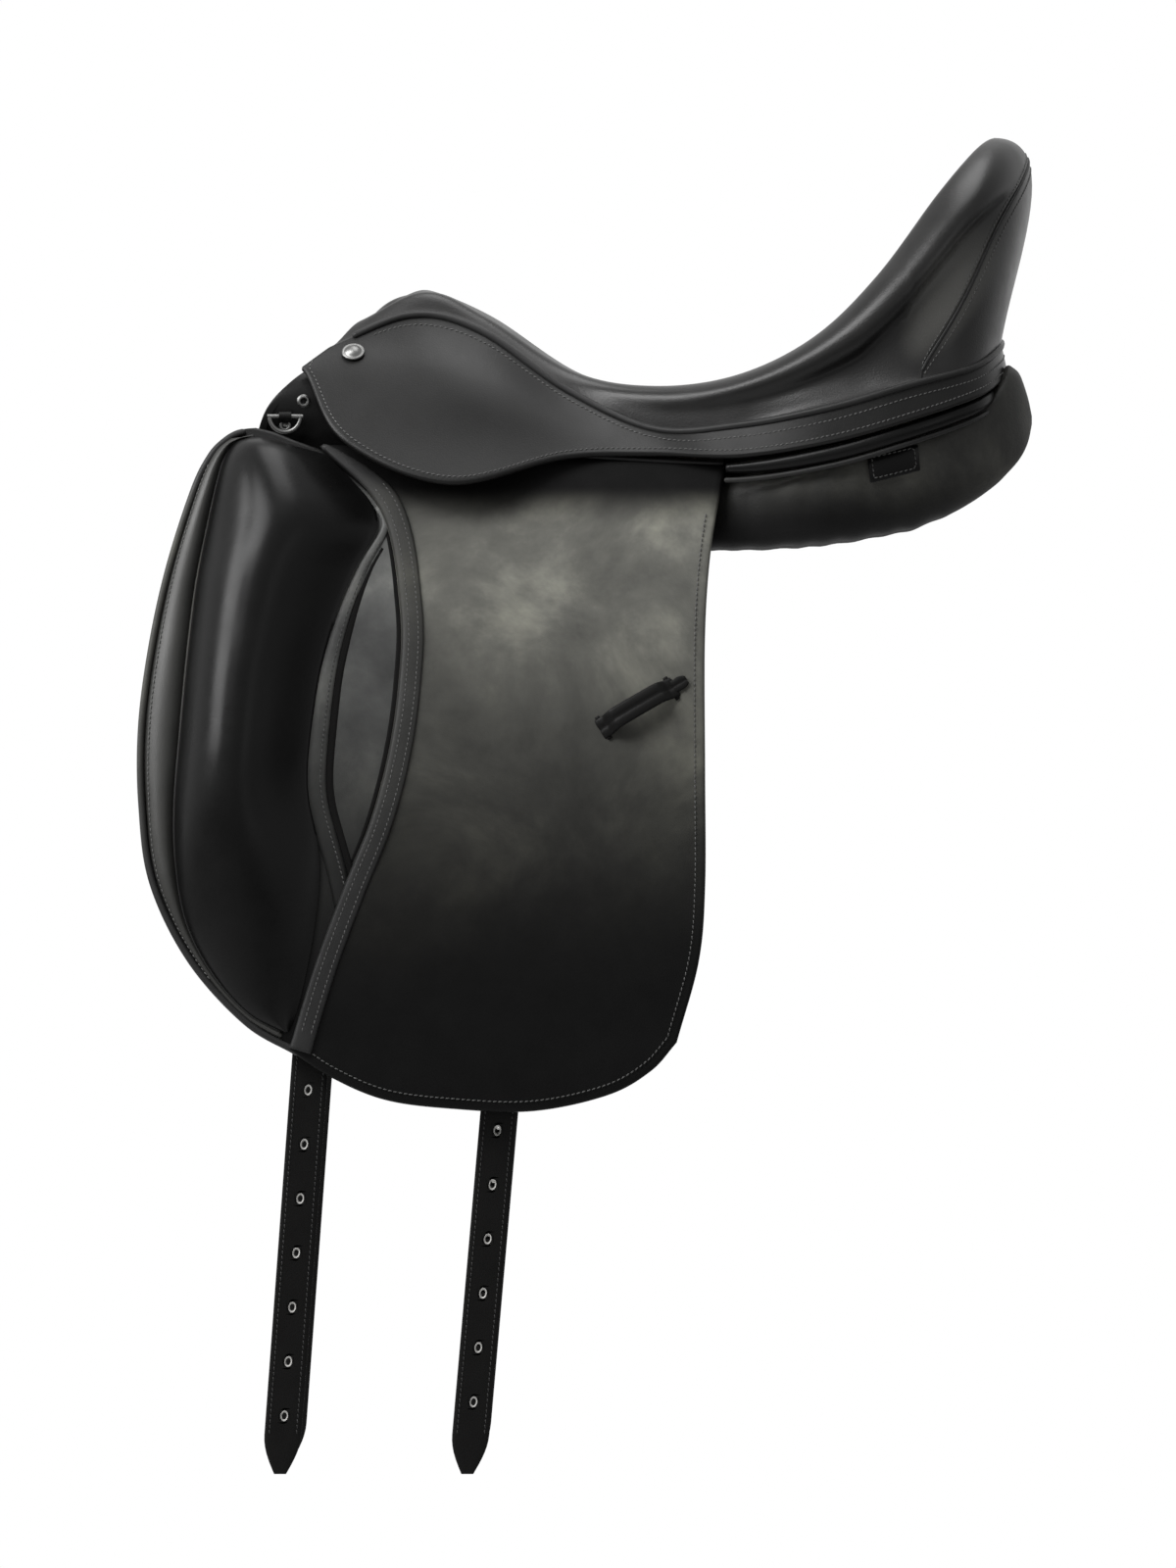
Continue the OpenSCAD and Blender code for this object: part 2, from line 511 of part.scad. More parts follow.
module tree_frame() timber() {
    stations = concat([head_end + 0.02], from_row(6));
    vs = [0.75, 1, 1.3, 1.6, 1.84, 1.97];
    paired_shell(tree_grid(stations, vs, tree_top), tree_grid(stations, vs, tree_low), false, true);
}
module tree_head() timber() {
    stations = concat([for (k = [1:5]) seat_stations[k] + (k == 1 ? 0.1 : 0)], [head_end]);
    vs = concat(dish_vs(), [1.3, 1.6, 1.84, 2, 2.5, 3]);
    paired_shell(tree_grid(stations, vs, tree_top), tree_grid(stations, vs, tree_low), true, false);
}
module head_plate() steel() {
    stations = [seat_stations[1] + 0.1, seat_stations[2], seat_stations[3]];
    vs = concat(dish_vs(), [1.3, 1.6, 1.84, 2, 2.45, 2.9]);
    low = plate_top + head_plate_t;
    paired_shell(tree_grid(stations, vs, plate_top), tree_grid(stations, vs, low), true, false);
}
module tree_springs() steel() {
    stations = concat([seat_stations[3] + 0.1], [for (k = [4:12]) seat_stations[k]]);
    vs = [0.77, 0.92];
    top = plate_top + 1;
    paired_shell(tree_grid(stations, vs, top), tree_grid(stations, vs, top + spring_t), false, false);
}
module tree_rivets() steel()
    for (s = [0, 1]) side(s)
        for (v = [2.35, 2.7])
            translate(near(tree_point(0.93, v, plate_top + head_plate_t))) rotate([wing_tilt, 0, 0])
                translate([0, 0, -0.7 - 2]) cylinder(r1 = 2.6, r2 = 4, h = 2);
module seat_webs() cloth() {
    stations = concat([head_end + 0.03], [for (k = [6:14]) seat_stations[k]]);
    vs = [0, 0.25, 0.5, 0.72];
    paired_shell(seat_grid(stations, vs, tree_top), seat_grid(stations, vs, tree_top + web_t), true, false);
}
module seat_welt() leather() {
    path = [for (t = steps(0.3, last, 40)) curve(welt_line, t)];
    whole = concat([for (p = path) near(p)], [for (k = [len(path) - 2:-1:0]) path[k]]);
    skin(tube_rings(whole, welt_r, welt_r, 6));
}
module gullet_lining() leather() {
    edge = half_g - 4;
    rows = [for (t = steps(0.9, 6, 9)) curve(centre_line, t) - [0, 0, 47]];
    tail = [[rear_x(0.8), 0, seat_h - 24], [rear_x(0.95), 0, seat_h - 15]];
    grid = function (drop) [for (p = concat(rows, tail)) [for (f = [-1, -0.5, 0, 0.5, 1])
        [p[0], f * edge, p[2] - 12 * f * f - drop]]];
    sheet(grid(2), grid(0));
}
// Facing of the pommel: an inner edge round the gullet, a front edge, and a side that runs under the skirt
facing_in = [[-254, 54, 54], [-250, 54, 78], [-238, 48, 92], [-220, 40, 104], [-202, 30, 113],
    [-186, 17, 120], [-180, 0, 123]];
facing_front = [[-267, 77, 64], [-259, 80, 90], [-244, 73, 108], [-225, 58, 122], [-206, 44, 133],
    [-190, 25, 146], [-183, 0, 152]];
facing_back = [62, 54, 40, 26, 8, 3, 3];
facing_t = 6;
module pommel_facing() leather() {
    row = function (f, deep) let (a = along(facing_in, f), b = along(facing_front, f),
            r = along(facing_back, f), flat = unit([0, b[1], b[2] - 70]))
        [a + [deep, 0, 0], lerp(a, b, 0.55) + [-4 + deep, 0, 0],
            b + [deep * 0.7, 0, 0] - flat * deep * 0.7 - flat * 2.5,
            b + [6, 0, 0] + [deep * 0.2, 0, 0] - flat * deep * 0.95, b + [r + 3, 0, 0] - flat * (deep + 1)];
    half = function (deep) [for (f = steps(0, 1, 10)) row(f, deep)];
    paired_shell(half(0), half(facing_t), false, true);
}
// Stands a child on a point of the near side, with its z along the skin's normal
module on_skin(p, across_t, across_w) {
    n = unit(cross(across_w - p, across_t - p));
    translate(p) rotate([0, acos(n[2]), atan2(n[1], n[0])]) children();
}
module skirt_studs() steel()
    for (s = [0, 1]) side(s)
        on_skin(near(skirt_point(0.42, 0.52)), near(skirt_point(0.52, 0.52)), near(skirt_point(0.42, 0.62)))
            translate([0, 0, 0.8]) rotate_extrude()
                polygon([[0, 0], [stud_d / 2, 0], [stud_d / 2, 0.8], [stud_d * 0.36, 2.4],
                    [stud_d * 0.16, 3.2], [0, 3.4]]);
module skirt(right) leather() side(right) {
    stations = concat(steps(0, lobe_end - 0.02, 9), steps(lobe_end + 0.02, last - 0.08, 16));
    grid = [for (t = stations) [for (f = steps(0, 1, 4))
        skirt_point(t, lerp(skirt_start(t), t < lobe_end ? 0.994 : 2, f))]];
    sheet(near_grid(grid), near_grid(skirt_inside(grid, stations, skirt_t)));
}
module skirt_lobe(right) leather() side(right) {
    stations = steps(0.02, lobe_end - 0.05, 16);
    grid = skirt_grid(stations, [1.006, 1.25, 1.5, 1.75, 1.95, 2]);
    sheet(near_grid(grid), near_grid(skirt_inside(grid, stations, skirt_t)));
}
// Strip at the flap's top, from under the welt to the fold
strip_from = -74;
module flap_top(right) leather() side(right) {
    strip = function (deep) [for (u = steps(0, 1, 8))
        let (t = lerp(2.84, 4.82, u), x = lerp(strip_from, fold_rear[0], u),
            f = (x - fold_front[0]) / (fold_rear[0] - fold_front[0]), q = lerp(fold_front, fold_rear, f),
            a = seat_welt_point(t, tree_top - 0.7), b = on_flap(q + [0, 3], 0),
            m = lerp(a, b, 0.5) + [0, 2, 2])
        [for (p = [a, lerp(a, m, 0.5) + [0, 0.8, 0.8], m, b]) p - [0, 0.6, 0.8] * deep]];
    sheet(near_grid(strip(0)), near_grid(strip(3)));
}
module flap(right) leather() side(right)
    sheet(near_grid(lay(flap_plan, -flap_t)), near_grid(lay(flap_plan, 0)));
module flap_base(right) leather() side(right)
    sheet(near_grid(lay(base_plan, base_out - base_t)), near_grid(lay(base_plan, base_out)));
module block(right) leather() side(right)
    sheet(near_grid(lay(block_plan, base_out + 2 * layer_gap)), near_grid(block_outside));
module flap_binding(right) leather() side(right) {
    edge = [for (f = steps(0.03, 0.985, 24)) along(flap_front_edge, f)];
    plan = [for (i = [0:len(edge) - 1])
        let (d = unit(edge[min(i + 1, len(edge) - 1)] - edge[max(i - 1, 0)]), n = [-d[1], d[0]])
        [edge[i] + n * 0.5, edge[i] + n * binding_w]];
    sheet(near_grid(lay(plan, layer_gap)), near_grid(lay(plan, 1.8)));
}
module keeper(right) leather() side(right) on_keeper() {
    h = keeper_gap + 0.4;
    l = keeper_len / 2;
    t = keeper_t;
    rotate([90, 0, 0]) linear_extrude(keeper_w, center = true)
        polygon([[-l, 0], [-l + 8, 0], [-l + 10, h], [l - 10, h], [l - 8, 0], [l, 0], [l, t], [l - 6, t],
            [l - 8, h + t], [-l + 8, h + t], [-l + 6, t], [-l, t]]);
}
module keeper_strip(right) leather() side(right) on_keeper()
    translate([keeper_len / 2 + 0.4, -keeper_w * 0.4, 0]) cube([12, keeper_w * 0.8, 1.6]);
module sweat_flap(right) leather() side(right)
    sheet(near_grid(lay(sweat_plan, sweat_out - sweat_t)), near_grid(lay(sweat_plan, sweat_out)));
module panel(right) leather() side(right) skin(panel_rings);
module gusset(right) leather() side(right) {
    path = [for (t = steps(4.9, 9.75, 20)) near(skirt_low(t) - outward(t) * 7 - [0, 0, 7.5])];
    skin(tube_rings(path, 5, 5.6, 8));
}
module billet(right, x0, lean, first, count) leather() side(right) difference() {
    plan = function (out) [for (z = billet_zs)
        let (x = billet_x(x0, lean, z), h = billet_half(z), s = flap_s(toe_x, max(z, -flap_drop)) + out)
        [[x - h, s, z], [x + h, s, z]]];
    sheet(near_grid(plan(billet_out - billet_t)), near_grid(plan(billet_out)));
    for (k = [0:count - 1]) {
        z = -first - k * hole_step(first, count);
        translate([billet_x(x0, lean, z), -flap_low_s, z]) rotate([90, 0, 0])
            cylinder(d = hole_d, h = 60, center = true);
    }
}
module front_billet(right) billet(right, front_billet_x, front_lean, front_hole, hole_count + 1);
module rear_billet(right) billet(right, rear_billet_x, rear_lean, rear_hole, hole_count);
module stirrup_bar(right) steel() side(right) on_wing() difference() {
    union() {
        translate([-plate_len / 2, -plate_w / 2, 0]) cube([plate_len, plate_w, plate_t]);
        translate([-plate_len / 2, -6.5, plate_t - eps]) cube([8, 13, bar_gap + bar_d + 1]);
        translate([-plate_len / 2 + 7, 0, bar_axis]) rotate([0, 90, 0]) cylinder(r = bar_r, h = bar_len + 1);
        for (k = [-1, 1])
            translate([hinge_x - 3, k * (catch_w / 2 + 0.4 + lug_w / 2) - lug_w / 2, plate_t - eps])
                cube([6, lug_w, 6.4]);
    }
    translate([hinge_x, 0, hinge_z]) rotate([90, 0, 0]) cylinder(r = pin_r + pin_fit, h = 40, center = true);
    for (x = [-16, 4]) translate([x, 6.5, -1]) cylinder(r = 2.3, h = plate_t + 2);
}
module bar_catch(right) steel() side(right) on_wing() translate([hinge_x, 0, hinge_z]) difference() {
    union() {
        rotate([90, 0, 0]) cylinder(r = 2.8, h = catch_w, center = true);
        translate([-1.5, -catch_w / 2, 0]) cube([3, catch_w, bar_axis - hinge_z + bar_r - 1]);
    }
    rotate([90, 0, 0]) cylinder(r = pin_r + pin_fit, h = 40, center = true);
}
module catch_pins() steel() for (s = [0, 1]) side(s) on_wing() translate([hinge_x, 0, hinge_z])
    rotate([90, 0, 0]) cylinder(r = pin_r, h = catch_w + 2 * lug_w + 1.6, center = true);
module bar_rivets() steel() for (s = [0, 1]) side(s) on_wing() for (x = [-16, 4]) translate([x, 6.5, 0.2])
    rotate_extrude() polygon([[0, 0], [2, 0], [2, plate_t + 0.1], [3.8, plate_t + 0.1], [3.4, plate_t + 1.2],
        [2, plate_t + 2], [0, plate_t + 2.2]]);
module dee_loop(right) leather() side(right) on_facing(dee_at) difference() {
    union() {
        translate([-4, -4, 0]) cube([8, 9, loop_t]);
        translate([-4, -loop_t, 0]) cube([8, 2 * loop_t, dee_h]);
        translate([0, 0, dee_h]) rotate([0, 90, 0])
            cylinder(r = dee_r + loop_fit + loop_t, h = 8, center = true);
    }
    translate([0, 0, dee_h]) rotate([0, 90, 0]) cylinder(r = dee_r + loop_fit, h = 20, center = true);
}
module dee(right) steel() side(right) on_facing(dee_at) translate([0, 0, dee_h]) {
    rotate([0, 90, 0]) cylinder(r = dee_r, h = 2 * dee_mid + dee_wire, center = true);
    rotate([0, 0, 180]) rotate_extrude(angle = 180) translate([dee_mid, 0]) circle(r = dee_r);
}
button_at = [-235, 79.5, 95];
module head_buttons() steel() for (s = [0, 1]) side(s) on_facing(button_at) rotate_extrude()
    polygon([[1.8, 0], [4.4, 0], [4.4, 0.6], [3.2, 1.8], [2.4, 1.8], [1.8, 1]]);
module panel_tabs() leather() for (s = [0, 1]) side(s) {
    grid = function (size)
        [for (t = steps(5.75, 6.3, 4)) [for (a = steps(8, -14, 3)) panel_point(t, a, size)]];
    sheet(near_grid(grid(1.03)), near_grid(grid(1.012)));
}
// Webs that hang the girth straps from the tree
module billet_webs(right) cloth() side(right) {
    foot_s = flap_s(toe_x, billet_top_z) + billet_out;
    hung = function (x0, tops, deep) [for (v = steps(0, 1, 4)) [for (k = [0, 1])
        lerp(tops[k], [x0 + (k - 0.5) * billet_w, foot_s, billet_top_z + 2.4], v) - [0, 0.6, 0.8] * deep]];
    front = [for (k = [-12, 12]) [-179 + k, wing_s - 2.1, wing_z + 8]];
    rear = [for (t = [2.78, 3.2]) tree_point(t, 1.97, tree_low + 0.9)];
    for (w = [[front_billet_x, front], [rear_billet_x, rear]])
        sheet(near_grid(hung(w[0], w[1], 2.4)), near_grid(hung(w[0], w[1], 0)));
}

tree_frame();
tree_head();
head_plate();
tree_springs();
tree_rivets();
seat_webs();
seat_foam();
seat_cover();
cantle_facing();
gullet_lining();
pommel_facing();
skirt_studs();
bar_rivets();
catch_pins();
head_buttons();
panel_tabs();
seat_welt();
skirt(false);  // left_skirt
skirt_lobe(false);  // left_skirt_lobe
flap_top(false);  // left_flap_top
flap(false);  // left_flap
flap_base(false);  // left_flap_base
block(false);  // left_block
flap_binding(false);  // left_flap_binding
keeper(false);  // left_keeper
keeper_strip(false);  // left_keeper_strip
sweat_flap(false);  // left_sweat_flap
panel(false);  // left_panel
gusset(false);  // left_gusset
billet_webs(false);  // left_billet_webs
front_billet(false);  // left_front_billet
rear_billet(false);  // left_rear_billet
stirrup_bar(false);  // left_stirrup_bar
bar_catch(false);  // left_bar_catch
dee_loop(false);  // left_dee_loop
dee(false);  // left_dee
skirt(true);  // right_skirt
skirt_lobe(true);  // right_skirt_lobe
flap_top(true);  // right_flap_top
flap(true);  // right_flap
flap_base(true);  // right_flap_base
block(true);  // right_block
flap_binding(true);  // right_flap_binding
keeper(true);  // right_keeper
keeper_strip(true);  // right_keeper_strip
sweat_flap(true);  // right_sweat_flap
panel(true);  // right_panel
gusset(true);  // right_gusset
billet_webs(true);  // right_billet_webs
front_billet(true);  // right_front_billet
rear_billet(true);  // right_rear_billet
stirrup_bar(true);  // right_stirrup_bar
bar_catch(true);  // right_bar_catch
dee_loop(true);  // right_dee_loop
dee(true);  // right_dee
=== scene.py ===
"""Dressage saddle: leather, padding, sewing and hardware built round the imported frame."""
import math

import bmesh
import bpy
import numpy as np
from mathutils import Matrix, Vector, noise


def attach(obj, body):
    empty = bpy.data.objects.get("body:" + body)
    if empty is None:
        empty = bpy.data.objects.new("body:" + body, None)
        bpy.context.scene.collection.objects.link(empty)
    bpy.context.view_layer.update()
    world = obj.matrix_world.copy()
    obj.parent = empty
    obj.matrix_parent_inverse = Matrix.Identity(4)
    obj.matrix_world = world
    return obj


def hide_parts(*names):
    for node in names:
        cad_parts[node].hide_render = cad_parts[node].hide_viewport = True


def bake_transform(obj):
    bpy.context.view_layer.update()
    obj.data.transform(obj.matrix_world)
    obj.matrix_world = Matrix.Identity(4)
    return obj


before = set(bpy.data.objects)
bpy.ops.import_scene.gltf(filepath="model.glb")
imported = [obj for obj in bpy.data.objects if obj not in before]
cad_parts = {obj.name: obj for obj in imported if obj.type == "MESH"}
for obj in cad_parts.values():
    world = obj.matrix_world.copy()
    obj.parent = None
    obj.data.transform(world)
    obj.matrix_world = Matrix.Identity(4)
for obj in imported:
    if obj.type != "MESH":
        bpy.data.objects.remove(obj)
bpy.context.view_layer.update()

bl_info = {
    "name": "Dressage saddle",
    "version": (1, 0, 0),
    "blender": (4, 5, 0),
    "location": "View3D > Sidebar > Saddle",
    "description": "Builds the leather, padding and hardware of a dressage saddle on its packed frame",
    "category": "Object",
}

MM = 0.001
ROOT = "saddle"
SIDES = ("left", "right")


# Curves and mixes, on numpy arrays in millimetres

def lerp(a, b, f):
    """A mix: a at 0 and b at 1."""
    return a + (b - a) * f


def smooth01(x):
    """A soft step from 0 to 1."""
    c = np.clip(x, 0, 1)
    return c * c * (3 - 2 * c)


def unit(v):
    v = np.asarray(v, float)
    size = np.linalg.norm(v, axis=-1, keepdims=True)
    return v / np.where(size < 1e-9, 1, size)


def curve(points, t):
    """A smooth curve through a list of points or numbers, at each t from 0 to one less than their number."""
    p = np.asarray(points, float)
    flat = p.ndim == 1
    p = p[:, None] if flat else p
    single = np.ndim(t) == 0
    t = np.atleast_1d(np.asarray(t, float))
    i = np.clip(np.floor(t).astype(int), 0, len(p) - 2)
    f = (t - i)[:, None]
    ext = np.vstack([2 * p[0] - p[1], p, 2 * p[-1] - p[-2]])
    a, b, c, d = ext[i], ext[i + 1], ext[i + 2], ext[i + 3]
    out = (2 * b + (c - a) * f + (2 * a - 5 * b + 4 * c - d) * f**2 + (3 * b - a - 3 * c + d) * f**3) / 2
    out = out[:, 0] if flat else out
    return out[0] if single else out


def along(points, f):
    """A smooth curve through points, at each f from 0 to 1."""
    return curve(points, np.asarray(f, float) * (len(points) - 1))


def bell(x):
    """A soft bump round 0."""
    return np.exp(-(x**2))


def bezier(a, b, c, d, f):
    """A cubic curve from a to d, drawn towards b and c."""
    f = np.asarray(f, float)[:, None]
    g = 1 - f
    return a * g**3 + b * 3 * g * g * f + c * 3 * g * f * f + d * f**3


def even(points, step):
    """The same line with points a step apart."""
    p = np.asarray(points, float)
    run = np.r_[0, np.cumsum(np.linalg.norm(np.diff(p, axis=0), axis=1))]
    count = max(2, int(round(run[-1] / step)) + 1)
    at = np.linspace(0, run[-1], count)
    return np.stack([np.interp(at, run, p[:, k]) for k in range(p.shape[1])], axis=1)


def ripple(p, scale, seed=0.0):
    """Smooth noise from -1 to 1 at a point in millimetres."""
    return noise.noise(Vector((p[0] / scale + seed, p[1] / scale, p[2] / scale)))


# Guides that the solids share: stations from pommel to cantle, near side at negative y

STUD_X, STUD_Z = -204, 128
POMMEL_X, TWIST_X = -154, -60
POMMEL_H, SEAT_H, CANTLE_H, SEAT_SIZE, DISH = 167, 105, 267, 445, 14
HALF_P, HALF_T, HALF_S = 47, 69, 126
CANTLE_X = STUD_X + math.sqrt(SEAT_SIZE**2 - (CANTLE_H - STUD_Z) ** 2)
LAST = 10
LEATHER_T, FOAM_T = 2.2, 21
WELT_R, SEAM_R = 2.4, 1.3
LAYER = 0.3


def rear_x(q):
    """Place between the twist and the cantle."""
    return lerp(TWIST_X, CANTLE_X, q)


def front_z(f):
    """Height between the seat and the pommel."""
    return lerp(SEAT_H, POMMEL_H, f)


def back_z(f):
    """Height between the seat and the cantle."""
    return lerp(SEAT_H, CANTLE_H, f)


def whole(points):
    """Near side stations carried on over the centre plane to the off side."""
    p = np.array(points, float)
    if p.ndim == 1:
        return np.r_[p, p[-2::-1]]
    p[:, 1] *= -1
    return np.vstack([p, p[-2::-1] * [1, -1, 1]])


MID_P = lerp(HALF_P, HALF_T, 0.18)
MID_T = lerp(HALF_T, HALF_S, 0.37)
MID_S = lerp(HALF_T, HALF_S, 0.72)
CENTRE_LINE = whole([
    [POMMEL_X - 12, 0, POMMEL_H - 2], [POMMEL_X + 2, 0, POMMEL_H + 0.5], [-112, 0, front_z(0.73)],
    [TWIST_X + 2, 0, front_z(0.16)], [rear_x(0.19), 0, SEAT_H - 0.36 * DISH],
    [rear_x(0.365), 0, SEAT_H - 0.65 * DISH], [rear_x(0.494), 0, SEAT_H - 0.36 * DISH],
    [rear_x(0.565), 0, SEAT_H + 1], [rear_x(0.61), 0, SEAT_H + 6], [rear_x(0.634), 0, SEAT_H + 9],
    [rear_x(0.645), 0, SEAT_H + 10]])
RIM_LINE = whole([
    [POMMEL_X - 42, 0.68 * HALF_P, POMMEL_H - 18.5], [POMMEL_X - 2, 0.6 * HALF_P, POMMEL_H - 0.5],
    [-116, MID_P - 17, front_z(0.72)], [TWIST_X, HALF_T - 19, front_z(0.155)],
    [rear_x(0.186), MID_T - 18, SEAT_H], [rear_x(0.379), MID_S - 19, SEAT_H + 7],
    [rear_x(0.558), HALF_S - 24, back_z(0.195)], [rear_x(0.709), HALF_S - 26, back_z(0.444)],
    [rear_x(0.852), 0.635 * HALF_S, back_z(0.772)], [rear_x(0.941), 0.365 * HALF_S, back_z(0.951)],
    [rear_x(0.98), 0, CANTLE_H]])
WELT_LINE = whole([
    [STUD_X - 13, HALF_P + 14, STUD_Z + 3], [POMMEL_X - 12, HALF_P, POMMEL_H - 16],
    [-121, MID_P, POMMEL_H - 26], [TWIST_X - 4, HALF_T, SEAT_H - 3], [rear_x(0.186), MID_T, SEAT_H - 28],
    [rear_x(0.379), MID_S, SEAT_H - 26], [rear_x(0.59), HALF_S, SEAT_H - 15],
    [rear_x(0.78), 0.985 * HALF_S, SEAT_H], [rear_x(0.923), 0.785 * HALF_S, SEAT_H + 11],
    [rear_x(0.984), 0.445 * HALF_S, SEAT_H + 23], [rear_x(0.995), 0, SEAT_H + 29]])
SKIRT_EDGE = whole([
    [STUD_X - 31, HALF_P + 30, STUD_Z - 11], [STUD_X - 1, 109, 68], [-140, 128, 42],
    [TWIST_X - 6, HALF_T + 41, SEAT_H - 46.5], [rear_x(0.193), MID_T + 17, SEAT_H - 44],
    [rear_x(0.386), MID_S + 10, SEAT_H - 46], [rear_x(0.6), HALF_S + 6, SEAT_H - 37],
    [rear_x(0.79), 0.985 * HALF_S + 7, SEAT_H - 22], [rear_x(0.941), 0.785 * HALF_S + 8, SEAT_H - 7],
    [rear_x(1.0), 0.445 * HALF_S + 5, SEAT_H + 4], [rear_x(1.012), 0, SEAT_H + 8]])
ROLL_IN = 18
ROLL_OUT = whole([10, 12, 13, 15, 17, 19, 23, 29, 37, 44, 48])
FLARE = whole([10, 9, 8, 4, 0.5, 2.5, 16, 14, 4, -6, -8])
LIFT = whole([0.1, 0, 0.06, 0.22, 0.38, 0.34, 0.05, 0.12, 0.24, 0.33, 0.35])
RIM_SHARE = whole([0.55, 0.55, 0.55, 0.55, 0.55, 0.55, 0.5, 0.4, 0.25, 0.15, 0.1])
RIM_DROP = whole([1, 1, 1, 1, 1, 1, 1.05, 1.15, 1.3, 1.38, 1.4])
UP = np.array([0.0, 0.0, 1.0])


def near_t(t):
    """The near side's station that mirrors one on the off side."""
    return min(t, 2 * LAST - t)


def outward(t):
    """Level direction from the centre line to the welt."""
    w, c = curve(WELT_LINE, t), curve(CENTRE_LINE, t)
    return unit(np.array([w[0] - c[0], w[1], 0]))


def welt_point(t, depth=0.0):
    """Point on the welt, or at a depth under it."""
    return curve(WELT_LINE, t) - outward(t) * 0.8 * depth - UP * 0.6 * depth


def seat_rib(t, vs, depth=0.0):
    """Points across the seat at station t: v is 0 on the centre line, 1 on the rim and 2 at the welt."""
    o = outward(t)
    c = curve(CENTRE_LINE, t) - UP * depth
    r = curve(RIM_LINE, t) - o * curve(RIM_SHARE, t) * depth - UP * curve(RIM_DROP, t) * depth
    w = welt_point(t, depth)
    flat = (r - c) * [1, 1, 0]
    reach = np.linalg.norm(flat)
    vs = np.asarray(vs, float)
    dish = bezier(c, c + unit(flat) * reach * 0.45, r - o * min(ROLL_IN, reach * 0.4), r, np.clip(vs, 0, 1))
    side = bezier(r, r + o * curve(ROLL_OUT, t) * (1 - depth / 60),
                  w - o * curve(FLARE, t) + UP * curve(LIFT, t) * (r[2] - w[2]), w, np.clip(vs - 1, 0, 1))
    side = side + o * roll_swell(t, np.clip(vs - 1, 0, 1), depth)[:, None]
    return np.where((vs <= 1)[:, None], dish, side)


ROLL_FULL, ROLL_DEEP = 6, 26
WAIST_AT, WAIST_FRONT, WAIST_REAR = 33, 2.8, 6.2
WAIST_ABOVE, WAIST_BELOW = 7.0, 28.0
FOAM_DRAW, FOAM_AT, FOAM_WIDE = 3.4, 28, 14
SIDE_FALL = 57.0


def roll_swell(t, f, depth):
    """How far the seat's side stands out: a fat roll below the rim, a waist under it and a flare to the welt."""
    fall = max(1.0, (curve(RIM_LINE, t) - curve(WELT_LINE, t))[2])
    d = max(fall, SIDE_FALL) * (1 - bezier(1, 1, float(curve(LIFT, t)), 0, f)[:, 0])
    near = near_t(t)
    behind_twist = smooth01((near - 3.0) / 2.2)
    roll = ROLL_FULL * (1 - np.exp(-d / 4)) * np.exp(-((d / ROLL_DEEP) ** 4)) * behind_twist
    draw = lerp(WAIST_FRONT, WAIST_REAR, smooth01((near - 5.6) / 1.2)) * smooth01((near - 4.9) / 1.2)
    below = lerp(WAIST_ABOVE, WAIST_BELOW, smooth01((near - 5.6) / 1.4))
    draw = draw * bell((d - WAIST_AT) / np.where(d < WAIST_AT, WAIST_ABOVE, below))
    inner = min(depth, FOAM_DRAW) * bell((d - FOAM_AT) / FOAM_WIDE) * behind_twist
    return (roll - draw - inner) * smooth01((9.4 - near) / 1.4)


SEAM_START = 7.2
WELT_ROOM = WELT_R + 3 * LAYER


def cover_end(t):
    """Where the seat's leather reaches the piping."""
    rise = curve(LIFT, t) * (curve(RIM_LINE, t) - curve(WELT_LINE, t))[2]
    return 2 - 0.45 * WELT_ROOM / math.hypot(curve(FLARE, t), rise)


def seam_v(t):
    """Where the cantle's seam crosses a rib of the seat."""
    f = np.clip((near_t(t) - SEAM_START) / (LAST - SEAM_START), 0, 1) ** 0.6
    return lerp(cover_end(t), 1.24, f)


def hem_v(t):
    """Where the seat's leather ends, under the piping."""
    return lerp(cover_end(t), 2, 0.8)


LOBE_END = 3.6
FOLD_A = lerp(curve(WELT_LINE, 0), curve(SKIRT_EDGE, 0), 0.86)
FOLD_B = lerp(curve(WELT_LINE, LOBE_END), curve(SKIRT_EDGE, LOBE_END), 0.6)
SKIRT_SWELL, SKIRT_FULL, SKIRT_HOLLOW = 7, 6.0, 3.0


def skirt_fold(t):
    """Point on the line where the skirt's front folds up."""
    if t <= LOBE_END:
        return lerp(FOLD_A, FOLD_B, t / LOBE_END)
    return lerp(curve(WELT_LINE, t), curve(SKIRT_EDGE, t), 0.6)


def skirt_rib(t, ws):
    """Points down the near skirt at station t: w is 0 at the welt, 1 on the fold and 2 at the lower edge."""
    ws = np.asarray(ws, float)
    swell = SKIRT_SWELL * smooth01(t) * smooth01((3.4 - t) / 1.2)
    line = curve([curve(WELT_LINE, t), skirt_fold(t), curve(SKIRT_EDGE, t)], ws)
    full = SKIRT_FULL * bell((t - 1.75) / 0.75) * bell((ws - 0.85) / 0.5)
    hollow = SKIRT_HOLLOW * bell((t - 0.8) / 0.35) * bell((ws - 0.45) / 0.3)
    return line + outward(t) * (swell * smooth01(ws / 0.7) + full - hollow)[:, None]


FLAP_DROP, FLAP_W, FLAP_REAR_X = 362, 365, 23
FRONT_X = FLAP_REAR_X - FLAP_W
FOLD_S, FLAP_LOW_S, TOE_IN, TOE_X = 98, 190, 14, -180
FOLD_FRONT, FOLD_REAR = [-223, 66], [FLAP_REAR_X + 13, SEAT_H - 53]
FLAP_T, BASE_T = 4, 3.6
BASE_OUT = -FLAP_T - LAYER


